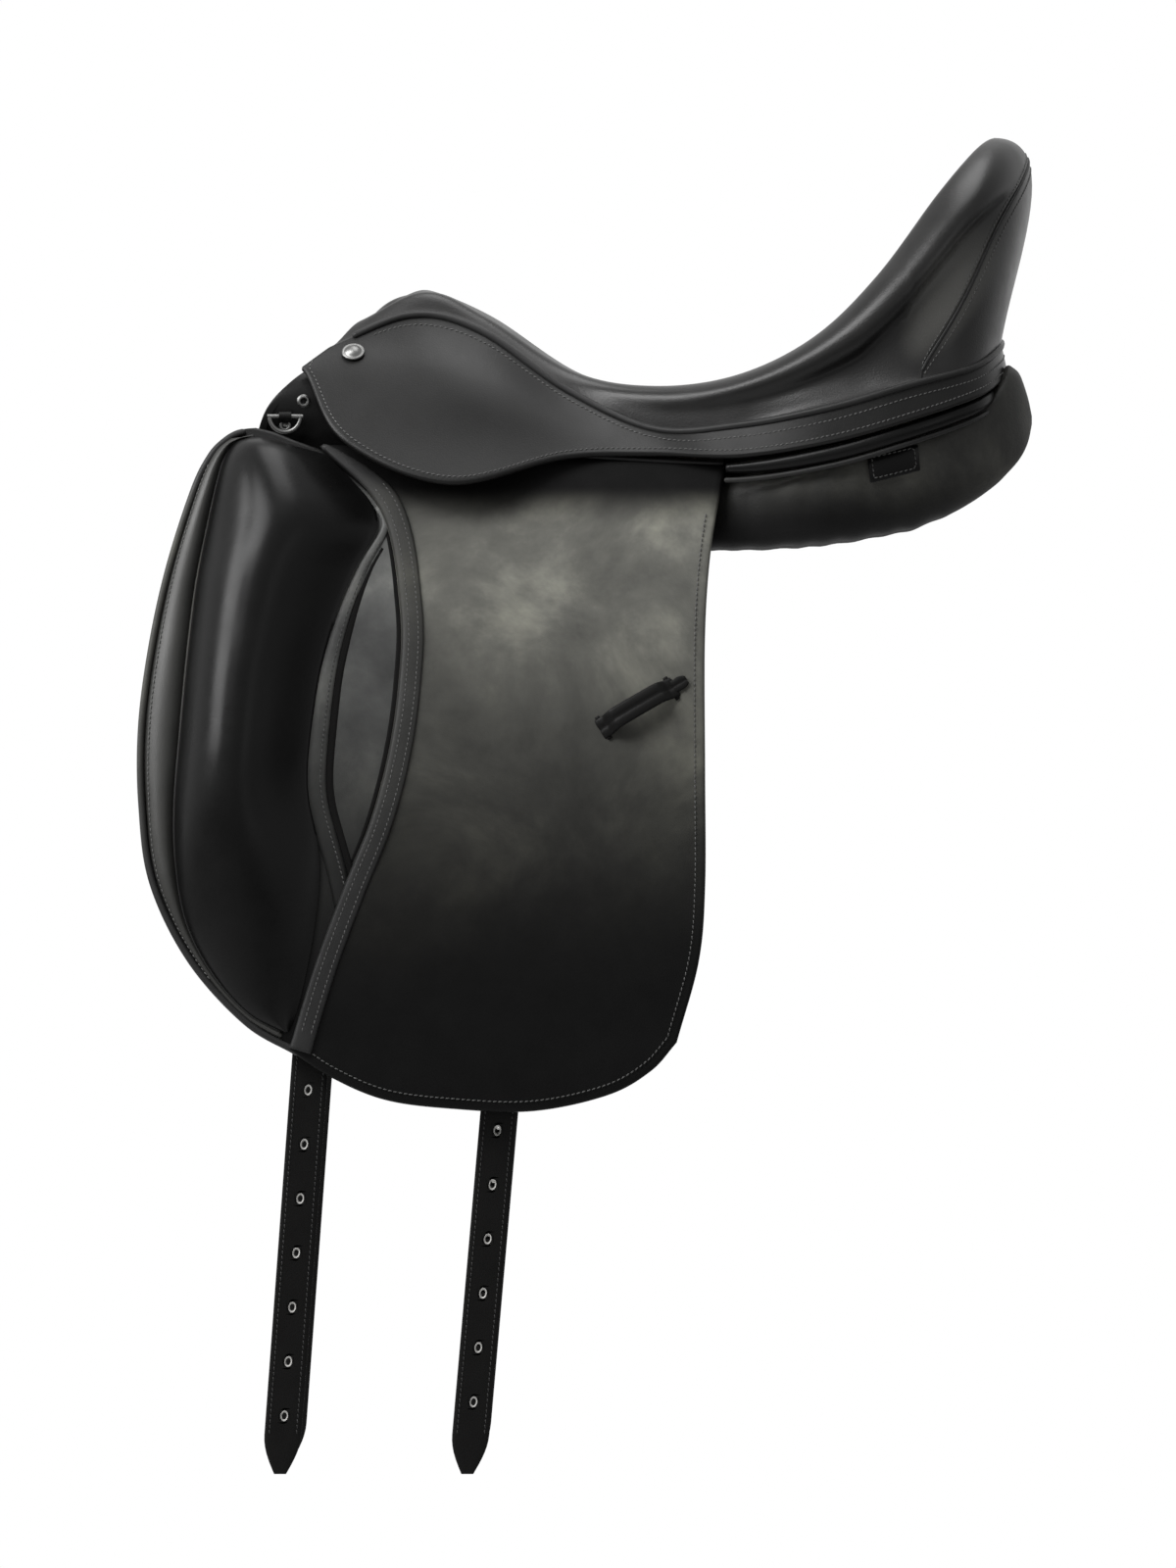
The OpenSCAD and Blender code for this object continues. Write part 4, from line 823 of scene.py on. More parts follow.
def finish(name):
    """A finish of the saddle by name, made once."""
    if name not in FINISHES:
        c = bpy.context.scene.saddle_colours
        makers = {
            # Seat: a painted highlight on the flare beside the cantle.
            "seat_leather": lambda: leather(name, c.seat, 0.36, 0.0011, 0.0002, 0.2, painted_flare_light=c.painted_flare_light),
            # Flaps: clouds partly of wear and partly of painted sheen, lighter towards the top, with painted shade
            # under the skirt.
            "flap_leather": lambda: leather(name, c.flap, 0.4, 0.0009, 0.00014, 0.045, wear_and_sheen=c.wear_and_sheen,
                                            sheen_fade_low=-0.33, sheen_fade_high=0.0, painted_shade_from=0.04),
            "skirt_leather": lambda: leather(name, c.skirt, 0.4, 0.0009, 0.00016, 0.11),
            "block_leather": lambda: leather(name, c.block, 0.31, 0.0010, 0.0001, 0.085),
            # Bases: painted sheen in clouds, lighter towards the top of the recess.
            "base_leather": lambda: leather(name, c.flap, 0.38, 0.0010, 0.00014, 0.09, wear_and_sheen=c.base_painted_sheen,
                                            sheen_fade_low=-0.32, sheen_fade_high=0.02),
            # Front rolls: a lighter black than the other leathers, as painted highlight.
            "roll_leather": lambda: leather(name, c.roll, 0.42, 0.0010, 0.00014, 0.2),
            # Panels: painted sheen in clouds towards their top.
            "panel_leather": lambda: leather(name, c.panel, 0.42, 0.0013, 0.00026, 0.06, wear_and_sheen=c.panel_painted_sheen,
                                             sheen_fade_low=0.004, sheen_fade_high=0.06, painted_shade_from=0.3),
            "strap_leather": lambda: leather(name, c.strap, 0.45, 0.0009, 0.0002, 0.06),
            # Bindings: a weak share of the flaps' wear and painted sheen, lighter towards the top.
            "binding_leather": lambda: leather(name, c.binding, 0.42, 0.0009, 0.00018, 0.1,
                                               wear_and_sheen=[0.28 * v for v in c.wear_and_sheen]),
            "lining_leather": lambda: leather(name, c.strap, 0.6, 0.0012, 0.0002, 0.04),
            # Pale rings in the straps' holes: painted light seen through the holes.
            "cut_edge": lambda: leather(name, c.cut_edge, 0.55, 0.0008, 0.00012, 0.2),
            "thread": lambda: thread(name, c.thread),
            "dark_thread": lambda: thread(name, c.strap),
            "bright_steel": lambda: metal(name, c.steel, 0.3, 0.12),
            "spring_steel": lambda: metal(name, c.spring, 0.3, 0.16),
            "beech": lambda: beech(name, c.beech),
            "web": lambda: woven(name, c.web),
            "latex": lambda: latex(name, c.latex),
        }
        FINISHES[name] = makers[name]()
    return FINISHES[name]


def fit(piece, body, slot, *nodes):
    """Puts a piece on its body, in place of the nodes that it stands for."""
    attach(piece, body)
    if nodes:
        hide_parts(*nodes)
    return piece


def round_faces():
    """Node group of the modifier that shades a solid smooth."""
    group = bpy.data.node_groups.get("round_faces")
    if group is None:
        group = bpy.data.node_groups.new("round_faces", "GeometryNodeTree")
        for way in ("INPUT", "OUTPUT"):
            group.interface.new_socket("Geometry", in_out=way, socket_type="NodeSocketGeometry")
        nodes = [group.nodes.new(kind) for kind in ("NodeGroupInput", "GeometryNodeSetShadeSmooth", "NodeGroupOutput")]
        for a, b in zip(nodes, nodes[1:]):
            group.links.new(a.outputs[0], b.inputs[0])
    return group


def paint_node(node, name):
    """Gives a solid that stays a finish, with its round faces smooth."""
    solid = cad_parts[node]
    for slot in solid.material_slots:
        slot.material = finish(name)
    solid.modifiers.new("round_faces", "NODES").node_group = round_faces()
    solid.modifiers.new("edges", "EDGE_SPLIT").split_angle = math.radians(32)


def pair(name, shape, look, slot, body="", node="", sharp=None):
    """A near side form and its mirror image, each on its side's body and in place of its side's node."""
    pieces = []
    for side in SIDES:
        piece = add_piece(f"{side}_{name}", sided(shape[0], side), shape[1], finish(look), sharp=sharp)
        nodes = [f"{side}_{node}"] if node else []
        pieces.append(fit(piece, f"{side}_{body}" if body else ROOT, slot, *nodes))
    return pieces


def sew(name, rows, body="", yarn="thread"):
    """All stitches of one piece on each side, each as one mesh."""
    pair(name, merge(rows), yarn, "flap_leather", body)


# Pieces

DISH_SHARES, ROLL_SHARES = np.linspace(0, 1, 27), np.linspace(0, 1, 29)[1:]
LIP_R, LIP_TURNS = 3.2, np.radians([30, 60, 90, 120, 150, 180])
FALL_MIDDLE, FALL_SIDE = np.array([-15.5, 0, -10.0]), np.array([-3.0, 0, -3.0])


def pommel_fall(edge, inner):
    """Rows that carry the seat's front edge on and down to the facing."""
    share = smooth01(np.r_[DISH_SHARES, np.ones(len(ROLL_SHARES))])[:, None]
    fall = lerp(FALL_MIDDLE, FALL_SIDE, share)
    ahead = unit(edge - inner) * np.linalg.norm(fall, axis=1)[:, None]
    return [edge + ahead * e + (fall - ahead) * e * e for e in np.linspace(0, 1, 9)[1:]]


def smooth_dish(cover):
    """Stretches the leather evenly over the middle of the seat, inside its rim and behind the twist."""
    rim = np.array([curve(RIM_LINE, t) for t in np.linspace(3.4, LAST, 80)])[::-1]
    middle = rear_x(0.42)
    angles, reach = np.arctan2(-rim[:, 1], rim[:, 0] - middle), np.hypot(rim[:, 0] - middle, rim[:, 1])
    shape = bmesh.new()
    shape.from_mesh(cover.data)
    inner = [v for v in shape.verts if v.co.x > (TWIST_X + 20) * MM and np.hypot(v.co.x / MM - middle, v.co.y / MM)
             < 0.78 * np.interp(np.arctan2(abs(v.co.y) / MM, v.co.x / MM - middle), angles, reach)]
    for _ in range(bpy.context.scene.saddle_sewing.dish_passes):
        bmesh.ops.smooth_vert(shape, verts=inner, factor=0.5, use_axis_x=True, use_axis_y=True, use_axis_z=True)
    # The ribs meet in one point of the dish: a bowl fitted to the ring round it takes its place.
    at = np.array([v.co[:] for v in inner]) / MM
    x, y = at[:, 0] - rear_x(0.645), at[:, 1]
    terms = np.stack([np.ones(len(x)), x, x * x, y * y, x * y * y, x**3], axis=1)
    away = np.hypot(x, y)
    ring = (away > 24) & (away < 64)
    bowl = terms @ np.linalg.lstsq(terms[ring], at[ring, 2], rcond=None)[0]
    for v, z in zip(inner, lerp(at[:, 2], bowl, smooth01((52 - away) / 34))):
        v.co.z = z * MM
    shape.to_mesh(cover.data)
    shape.free()


def turn_towards(piece, point):
    """Turns an open sheet's faces to the side of a point."""
    shape = bmesh.new()
    shape.from_mesh(piece.data)
    bmesh.ops.recalc_face_normals(shape, faces=shape.faces)
    if sum((f.calc_center_median() - point).dot(f.normal) * f.calc_area() for f in shape.faces) > 0:
        bmesh.ops.reverse_faces(shape, faces=shape.faces)
    shape.to_mesh(piece.data)
    shape.free()


def add_thickness(piece, thick):
    """Gives an open sheet its leather's thickness, inwards, as part of its mesh."""
    solid = piece.modifiers.new("leather", "SOLIDIFY")
    solid.thickness = thick * MM
    solid.offset = -1
    mesh = bpy.data.meshes.new_from_object(piece.evaluated_get(bpy.context.evaluated_depsgraph_get()))
    piece.modifiers.clear()
    old, piece.data = piece.data, mesh
    bpy.data.meshes.remove(old)


def make_seat():
    rows = []
    for t in np.linspace(0, 2 * LAST, 241):
        end = seam_v(t) - 0.012 if near_t(t) > SEAM_START else hem_v(t)
        rows.append(seat_rib(t, np.r_[DISH_SHARES, 1 + (end - 1) * ROLL_SHARES]))
    rows = np.concatenate([pommel_fall(rows[0], rows[1])[::-1], rows, pommel_fall(rows[-1], rows[-2])])
    n = grid_normals(rows, UP)
    lips = []
    for row, inner, normal in ((rows[0], rows[1], n[0]), (rows[-1], rows[-2], n[-1])):
        ahead = unit(row - inner)
        lips.append([row + ahead * LIP_R * math.sin(a) - normal * LIP_R * (1 - math.cos(a)) for a in LIP_TURNS])
    grid = np.concatenate([lips[0][::-1], rows, lips[1]])
    cover = add_piece("seat_cover_leather", grid.reshape(-1, 3), grid_faces(*grid.shape[:2]), finish("seat_leather"),
                      closed=False)
    smooth_dish(cover)
    turn_towards(cover, Vector((0, 0, 0.3)))
    add_thickness(cover, LEATHER_T)
    fit(cover, ROOT, "seat_leather", "seat_cover")
    layers = []
    for depth in (LEATHER_T + LAYER, LEATHER_T + LAYER + FOAM_T):
        spans = [(t, np.linspace(0, lerp(1, seam_v(t), 0.8), 30)) for t in np.linspace(0.46, 2 * LAST - 0.46, 121)]
        layers.append(np.array([seat_rib(t, vs, depth) for t, vs in spans]))
    foam = add_piece("seat_foam_pad", *pillow(*layers, folded=True), finish("latex"))
    fit(foam, ROOT, "foam", "seat_foam")


def seam_normal(t, v):
    """Direction off the seat's skin."""
    d = 0.02
    across_rib = seat_rib(t, [v + d])[0] - seat_rib(t, [v - d])[0]
    along_rib = seat_rib(min(t + d, 2 * LAST), [v])[0] - seat_rib(max(t - d, 0), [v])[0]
    n = unit(np.cross(along_rib, across_rib))
    ref = np.array([outward(t)[0], outward(t)[1], 0.25])
    return n if n @ ref > 0 else -n


def seam_line(shift):
    """Points beside the cantle's seam, and the directions off the skin there."""
    spots = [(t, seam_v(t) + shift) for t in np.linspace(SEAM_START + 0.03, 2 * LAST - SEAM_START - 0.03, 160)]
    return np.array([seat_rib(t, [v])[0] for t, v in spots]), np.array([seam_normal(t, v) for t, v in spots])


def make_cantle():
    back = [seat_rib(t, lerp(seam_v(t) - 0.004, hem_v(t), np.linspace(0, 1, 17)))
            for t in np.linspace(SEAM_START, 2 * LAST - SEAM_START, 121)]
    facing = add_piece("cantle_facing_leather", *shell(back, LEATHER_T, (1, 0, 0.2), 0.4), finish("seat_leather"))
    fit(facing, ROOT, "seat_leather", "cantle_facing")
    path = [curve(WELT_LINE, t) for t in np.linspace(0.3, 2 * LAST - 0.3, 260)]
    piping = add_piece("seat_piping", *tube(path, WELT_R), finish("binding_leather"))
    fit(piping, ROOT, "seat_leather", "seat_welt")
    seam, away = seam_line(0)
    cord = add_piece("cantle_seam_piping", *tube(seam - away * 0.4, SEAM_R, away, 10), finish("binding_leather"))
    fit(cord, ROOT, "seat_leather")
    rows = merge([stitch_row(*seam_line(shift)) for shift in (-0.035, 0.05)])
    fit(add_piece("cantle_stitching", *rows, finish("thread")), ROOT, "flap_leather")


SKIRT_T, SKIRT_SIDE = 4, (0, -1, 0.6)
SKIRT_HEMS, SKIRT_SEWN = (1.2, 1.6), (8.0, 5.0)
LOBE_BLEND = 1.0, 26.0
STUD_T, STUD_W = 0.42, 0.52
STUD_PROFILE = [(0.2, 0), (7.1, 0), (7.5, 0.4), (7.5, 1.2), (7.1, 1.7), (6.4, 1.8), (6.0, 1.5), (5.6, 1.6),
                (4.6, 2.6), (3.2, 3.4), (1.6, 3.9), (0.1, 4.0)]


def make_skirts():
    ts = np.r_[np.linspace(0, 4, 101), np.linspace(4, 10, 121)[1:]]
    spans = [(t, np.linalg.norm(skirt_fold(t) - curve(WELT_LINE, t)),
              np.linalg.norm(curve(SKIRT_EDGE, t) - skirt_fold(t))) for t in ts]
    rows = np.array([skirt_rib(t, lerp(SKIRT_HEMS[0] / upper, 2 - SKIRT_HEMS[1] / lower, np.linspace(0, 1, 41)))
                     for t, upper, lower in spans])
    away = grid_normals(rows, SKIRT_SIDE)
    high = np.array([skirt_rib(t, [SKIRT_SEWN[0] / upper])[0] for t, upper, _ in spans])
    edge = np.array([skirt_rib(t, [2 - SKIRT_SEWN[1] / lower])[0] for t, _, lower in spans])
    stitches = merge([stitch_row(edge, away[:, 38]), stitch_row(high[14:], away[14:, 2])])
    sheet = shell(rows, SKIRT_T, SKIRT_SIDE, 0.42)
    turn = unit(FOLD_B - FOLD_A)
    down = rows[50, 40] - rows[50, 20]
    slope = unit(unit(down - turn * (down @ turn)) - turn * 0.1)
    for side in SIDES:
        start, end = (sided(FOLD_A + slope * reach, side) * MM for reach in LOBE_BLEND)
        skirt = add_piece(f"{side}_skirt_leather", sided(sheet[0], side), sheet[1], finish("skirt_leather"))
        sewn = add_piece(f"{side}_skirt_stitching", sided(stitches[0], side), stitches[1], finish("thread"))
        for piece in (skirt, sewn):
            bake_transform(piece)
        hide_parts(f"{side}_skirt", f"{side}_skirt_lobe")
    at = skirt_rib(STUD_T, [STUD_W])[0]
    n = unit(np.cross(skirt_rib(STUD_T + 0.1, [STUD_W])[0] - at, skirt_rib(STUD_T, [STUD_W + 0.1])[0] - at))
    n = n if n[1] < 0 else -n
    studs = pair("skirt_stud", lathe(at + n * 0.7, n, STUD_PROFILE, 40), "bright_steel", "steel")
    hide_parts("skirt_studs")


BINDING_PROFILE = [(13.0, 0.1), (12.7, 1.0), (12.0, 1.5), (10.5, 1.7), (6.5, 1.95), (2.5, 1.75), (0.6, 1.5),
                   (-0.7, 0.8), (-1.3, -0.6), (-1.3, -2.4), (-0.9, -3.7), (0.0, -3.9), (0.3, -1.5), (0.6, 0.05)]
BINDING_SEWN, EDGE_SEWN = (3.4, 9.6), 5.0
STRIP_FRONT, STRIP_T = -74, 3


def make_flaps():
    wave = bpy.context.scene.saddle_sewing.flap_wave / MM
    plan = patch(FLAP_TOP, FLAP_LOW, FLAP_FRONT, FLAP_REAR, 121, 81)
    grid = on_flap(plan)
    swell = np.array([[ripple(p, 95) + 0.5 * ripple(p, 42, 7.3) for p in row] for row in grid])
    grid[..., 1] -= swell * wave * smooth01((FOLD_FRONT[1] - 12 - plan[..., 1]) / 40)
    front = inset(FLAP_FRONT, 0)
    tuck = np.clip(np.arange(len(front)) / 26, 0, 1) ** 0.6
    binding = sweep(on_flap(front, 0.1), BINDING_PROFILE, flap_normals(front), 0.12 + 0.88 * tuck)
    rows = []
    for d in BINDING_SEWN:
        line = inset(FLAP_FRONT, d)[22:-6]
        rows.append(stitch_row(on_flap(line, 1.75), flap_normals(line)))
    outline = np.vstack([along(FLAP_REAR, np.linspace(0.1, 1, 200))[:-1], along(FLAP_LOW, np.linspace(1, 0.06, 200))])
    line = beside(even(outline, 2.0), -EDGE_SEWN)
    rows.append(stitch_row(on_flap(line, wave * 0.4), flap_normals(line)))
    strip = []
    for u in np.linspace(0, 1, 41):
        x = lerp(STRIP_FRONT, FOLD_REAR[0], u)
        f = (x - FOLD_FRONT[0]) / (FOLD_REAR[0] - FOLD_FRONT[0])
        b = on_flap([x, lerp(FOLD_FRONT[1], FOLD_REAR[1], f) + 3])
        a = welt_point(lerp(2.84, 4.82, u), LEATHER_T + FOAM_T + 6 * LAYER - 0.7)
        m = lerp(a, b, 0.5) + [0, -2, 2]
        strip.append(curve([a, lerp(a, m, 0.5) + [0, -0.8, 0.8], m, b], np.linspace(0, 3, 19)))
    pair("flap_leather", shell(grid, FLAP_T, (0, -1, 0), 0.4), "flap_leather", "flap_leather", "flap_body", "flap")
    pair("flap_edge_binding", binding, "binding_leather", "flap_leather", "flap_body", "flap_binding")
    sew("flap_stitching", rows, "flap_body")
    pair("flap_nailing_strip", shell(strip, STRIP_T, (0, -1, 0.6), 0.3), "binding_leather", "flap_leather",
         node="flap_top")


BLOCK_CREST = 0.42


def block_rise(u):
    """Share of the block's height from its front edge to its rear edge."""
    front = np.sin(np.pi / 2 * np.clip(u / BLOCK_CREST, 0, 1) ** 0.7)
    rear = np.maximum(0, np.cos(np.pi / 2 * np.clip((u - BLOCK_CREST) / (1 - BLOCK_CREST), 0, 1))) ** 1.3
    return np.where(u < BLOCK_CREST, front, rear)


def block_taper(v):
    """Share of the block's height from its top to its foot."""
    crown = np.sqrt(1 - (1 - np.clip(v / 0.26, 0, 1)) ** 2)
    return (0.06 + 0.94 * crown) * (1 - 0.92 * smooth01((v - 0.5) / 0.5))


LENS_TOP, LENS_FOOT = 22, -204
# Section of the dark strips that stand for painted shadow in the gaps beside the base's recess.
SHADOW_STRIP_PROFILE = [(-2.9, -0.3), (-2.6, 0.25), (-1.2, 0.35), (0.0, 0.3), (1.2, 0.35), (2.6, 0.25), (2.9, -0.3)]
FLANGE_PROFILE = [(-6.5, 0.2), (-6.2, 1.8), (-4.5, 3.2), (-1.5, 3.9), (2.0, 3.7), (5.0, 2.6), (6.6, 1.2), (6.9, 0.2)]
ROLL_LOW, ROLL_HIGH, ROLL_LEATHER = 0.6, 6.0, 0.5


def front_roll():
    """The padded strip in front of the block, and the line of its stitches."""
    shares = np.linspace(0.0, 1.0, 15)
    front = along(paced(BASE_FRONT), np.linspace(0.05, 0.97, 141))
    seam = along(paced(BLOCK_FRONT), np.linspace(0.0, 1.0, 141))
    roll = []
    for a, b in zip(front, seam):
        gap = np.linalg.norm(b - a)
        line = lerp(lerp(a, b, min(0.5, 5.0 / max(gap, 1))), b, shares[:, None])
        height = np.minimum(ROLL_HIGH, 0.3 * gap) * np.sin(np.pi * shares) ** 0.7
        roll.append(on_flap(line, BASE_OUT + ROLL_LOW + height))
    row = even(np.array([lerp(line[1], line[2], 0.6) for line in roll]), 2.0)[12:-30]
    return shell(roll, ROLL_LEATHER, (0, -1, 0), 0.0, 2), row


def make_blocks():
    base_plan = patch([BASE_TOP, [-254, 74.6], [-238, 68.4], BASE_REAR_TOP], [BASE_FOOT, BASE_REAR_FOOT],
                      paced(BASE_FRONT), paced(BASE_REAR), 91, 41)
    base = shell(on_flap(base_plan, BASE_OUT), BASE_T, (0, -1, 0), 0.0)
    pace = np.linspace(0, 1, 121) ** 1.5
    plan = patch([BLOCK_TOP, [-256, 70.5], [-240, 66], BLOCK_REAR[0]], [BLOCK_FOOT, BLOCK_REAR[-1]],
                 paced(BLOCK_FRONT), paced(BLOCK_REAR), pace, 61)
    u, v = np.meshgrid(np.linspace(0, 1, 61), pace)
    block = pillow(on_flap(plan, BASE_OUT + BLOCK_RIM + BLOCK_H * block_rise(u) * block_taper(v)),
                   on_flap(plan, BASE_OUT + 2 * LAYER))
    roll, row = front_roll()
    edge = inset(BASE_FRONT, 2.2, 3.0)[3:]
    piping = tube(on_flap(edge, BASE_OUT + ROLL_LOW), WELT_R, flap_normals(edge))
    seam = even(along(BLOCK_FRONT, np.linspace(0.0, 0.99, 220)), 3.0)
    cord = tube(on_flap(seam, BASE_OUT + 1.2), SEAM_R, flap_normals(seam), 10)
    rear = even(along(FLANGE_LINE, np.linspace(0, 1, 220)), 3.0)
    wide = 0.35 + 0.6 * smooth01(np.linspace(0, 1.5, len(rear)))
    flange = sweep(on_flap(rear, BASE_OUT + 0.2), FLANGE_PROFILE, flap_normals(rear), wide)
    line = beside(rear, 3.2 * wide)[8:]
    stitches = [stitch_row(row, flap_normals(row[:, [0, 2]]), 0.25),
                stitch_row(on_flap(line, BASE_OUT + 0.2 + 3.4 * wide[8:]), flap_normals(line))]
    # Painted shadow: dark strips along the flange and along the flap's binding, where the gaps beside the recess are in
    # shade.
    behind = beside(rear, 6.9 * wide + 1.9)[9:]
    before = inset(FLAP_FRONT, -2.9)
    before = before[(before[:, 1] < LENS_TOP) & (before[:, 1] > LENS_FOOT)]
    widths = (0.3 + 0.7 * smooth01(np.linspace(0, 3, len(behind))),
              0.64 * np.sin(np.pi * np.linspace(0.03, 0.97, len(before))) ** 0.4)
    shadow_strips = [sweep(on_flap(line, BASE_OUT + 0.1), SHADOW_STRIP_PROFILE, flap_normals(line), width)
               for line, width in zip((behind, before), widths)]
    for pad in pair("block_pad", block, "block_leather", "seat_leather", "flap_body", "block", sharp=70):
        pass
    pair("block_base", base, "base_leather", "flap_leather", "flap_body", "flap_base")
    for name, shape, look in (("base_roll", roll, "roll_leather"), ("base_piping", piping, "binding_leather"),
                              ("block_seam", cord, "binding_leather"), ("block_flange", flange, "base_leather"),
                              ("flange_groove", shadow_strips[0], "lining_leather"),
                              ("binding_groove", shadow_strips[1], "lining_leather")):
        pair(name, shape, look, "flap_leather", "flap_body")
    sew("block_stitching", stitches, "flap_body")


KEEPER_AT, KEEPER_TURN, KEEPER_END = [-19, -104], math.radians(31), 25.5
KEEPER_SPINE = [(-28, -0.6), (-25.5, 0.9), (-22.5, 2.2), (-19.5, 5.2), (-16.5, 7.5), (-12, 8.1), (0, 8.4), (12, 8.1),
                (16.5, 7.5), (19.5, 5.2), (22.5, 2.2), (25.5, 0.9), (28, -0.6)]
KEEPER_STRAP = [(-7, 0), (-6.6, 0.8), (-5.6, 1.15), (-3.2, 1.3), (-1.2, 1.1), (0, 0.5), (1.2, 1.1), (3.2, 1.3),
                (5.6, 1.15), (6.6, 0.8), (7, 0), (6.6, -0.8), (5.6, -1.15), (-5.6, -1.15), (-6.6, -0.8)]


def make_keepers():
    n = flap_normals([KEEPER_AT])[0]
    flat = unit(np.array([1.0, 0, 0]) - n * n[0])
    rise = np.cross(flat, n) if np.cross(flat, n)[2] > 0 else np.cross(n, flat)
    at = on_flap(KEEPER_AT, 0.4)
    x = flat * math.cos(KEEPER_TURN) + rise * math.sin(KEEPER_TURN)
    y = rise * math.cos(KEEPER_TURN) - flat * math.sin(KEEPER_TURN)
    spine = along(KEEPER_SPINE, np.linspace(0, 1, 97))
    run = np.gradient(spine, axis=0)
    loop = sweep(at + spine[:, :1] * x + spine[:, 1:] * n, KEEPER_STRAP, unit(run[:, :1] * n - run[:, 1:] * x))
    width = np.sqrt(np.clip(1 - ((np.arange(19) - 9) / 10.5) ** 2, 0, 1)) * 0.75 + 0.1
    width[:8] = 0.8
    strip = sweep(at + np.linspace(KEEPER_END, 37, 19)[:, None] * x + n * 0.9,
                  [(a * 0.78, b * 0.75) for a, b in KEEPER_STRAP], np.tile(n, (19, 1)), width)
    slits = []
    for end in (-KEEPER_END, KEEPER_END):
        line = np.array([at + x * end + y * k + n * 0.35 for k in np.linspace(-8.5, 8.5, 15)])
        slits.append(sweep(line, round_profile(1.6, 0.7, 8), np.tile(n, (15, 1))))
    pair("keeper_loop", loop, "strap_leather", "strap_leather", "flap_body", "keeper")
    pair("keeper_tail", strip, "strap_leather", "strap_leather", "flap_body", "keeper_strip")
    pair("keeper_slits", merge(slits), "lining_leather", "strap_leather", "flap_body")


def panel_side(x, z):
    """How far out the near panel's side stands at a place."""
    ts = np.linspace(0, PANEL_END, 400)
    ring = panel_ring(np.interp(x, curve(PANEL_ROWS, ts)[:, 0], ts), np.linspace(-80, 80, 161))
    order = np.argsort(ring[:, 2])
    return np.interp(z, ring[order, 2], -ring[order, 1])


TAB = np.array([[130, 58.5], [162, 66], [132, 42], [163.5, 50]])
TAB_SEAM = np.array([(0.07, 0.06), (0.93, 0.06), (0.93, 0.88), (0.07, 0.88), (0.07, 0.06)])
PANEL_NOSE = (0.5, -10), (0.72, -8.5), (0.88, -5.2), (0.97, -2)


def tab_point(u, v, out):
    """A place on the tab: u along the seam that it hangs from, v down from it."""
    x, z = lerp(lerp(TAB[0], TAB[1], u), lerp(TAB[2], TAB[3], u), v)
    return [x, -(panel_side(x, z) + out), z]


def panel_wrinkle(p, t, angle, depth):
    """How far the panel's leather stands in or out at a point: puckers below the seam and a soft sag."""
    near_seam = bell((angle - 24) / 26.0) + 0.8 * bell((angle + 62) / 20.0)
    pucker = math.sin(p[0] / 3.1 + 2.2 * ripple(p, 40, 3.0)) * near_seam
    slack = ripple(p, 34, 11.0) * 0.8 + ripple(p, 15, 5.0) * 0.35
    return depth * (0.5 * pucker + 0.6 * slack) * float(smooth01((t - 3.6) / 1.0) * smooth01((8.6 - t) / 1.6))


def panel_pad():
    """The near panel with the wrinkles of its leather. Gives points and faces."""
    depth = bpy.context.scene.saddle_sewing.panel_wrinkle / MM
    angles = -np.linspace(0, 360, 96, endpoint=False)
    rings = [panel_ring(0, angles, size) + [x, 0, 0] for size, x in PANEL_NOSE]
    for t in np.linspace(0, PANEL_END, 301):
        ring = panel_ring(t, angles)
        away = unit(ring - ring.mean(axis=0))
        rings.append(ring + away * np.array([[panel_wrinkle(p, t, (a + 180) % 360 - 180, depth)]
                                             for p, a in zip(ring, angles)]) - away * depth * 0.4)
    rings.append(panel_ring(PANEL_END, angles, 0.5) + [0.4, 0, 0])
    return skin(rings)


def make_panels():
    path = np.array([curve(SKIRT_EDGE, t) - outward(t) * 7 - UP * 7.5 for t in np.linspace(4.84, 9.0, 121)])
    slim = np.sin(np.pi * np.linspace(0.02, 0.98, len(path))) ** 0.25
    gusset = sweep(path, round_profile(5, 5.6, 20), None, slim)
    path = [curve(SKIRT_EDGE, t) - outward(t) * 5.2 - UP * 15.2 for t in np.linspace(4.84, 8.9, 110)]
    tab = shell([[tab_point(u, v, 1.8) for v in np.linspace(0, 1, 11)] for u in np.linspace(0, 1, 17)], 1.4,
                (0, -1, 0), 0.4)
    rim = np.vstack([[tab_point(*lerp(a, b, f), 1.9) for f in np.linspace(0, 1, 12)]
                     for a, b in zip(TAB_SEAM, TAB_SEAM[1:])])
    strip = shell([[lerp(p, np.array([p[0], p[1] + 1, max(43, p[2] - 40)]), v) for v in np.linspace(0, 1, 9)]
                   for p in (tree_rail(t, 32) for t in np.linspace(3.2, 9.4, 125))], 1.6, (0, -1, 0), 0.3)
    for pad in pair("panel_pad", panel_pad(), "panel_leather", "panel_leather", node="panel"):
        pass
    pair("gusset_roll", gusset, "block_leather", "panel_leather", node="gusset")
    pair("panel_top_strip", strip, "lining_leather", "panel_leather")
    pair("panel_piping", tube(path, 1.7), "binding_leather", "panel_leather")
    tabs = pair("panel_tab", tab, "block_leather", "panel_leather")
    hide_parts("panel_tabs")
    sew("tab_stitching", [stitch_row(rim, np.tile([0, -1.0, 0], (len(rim), 1)))])


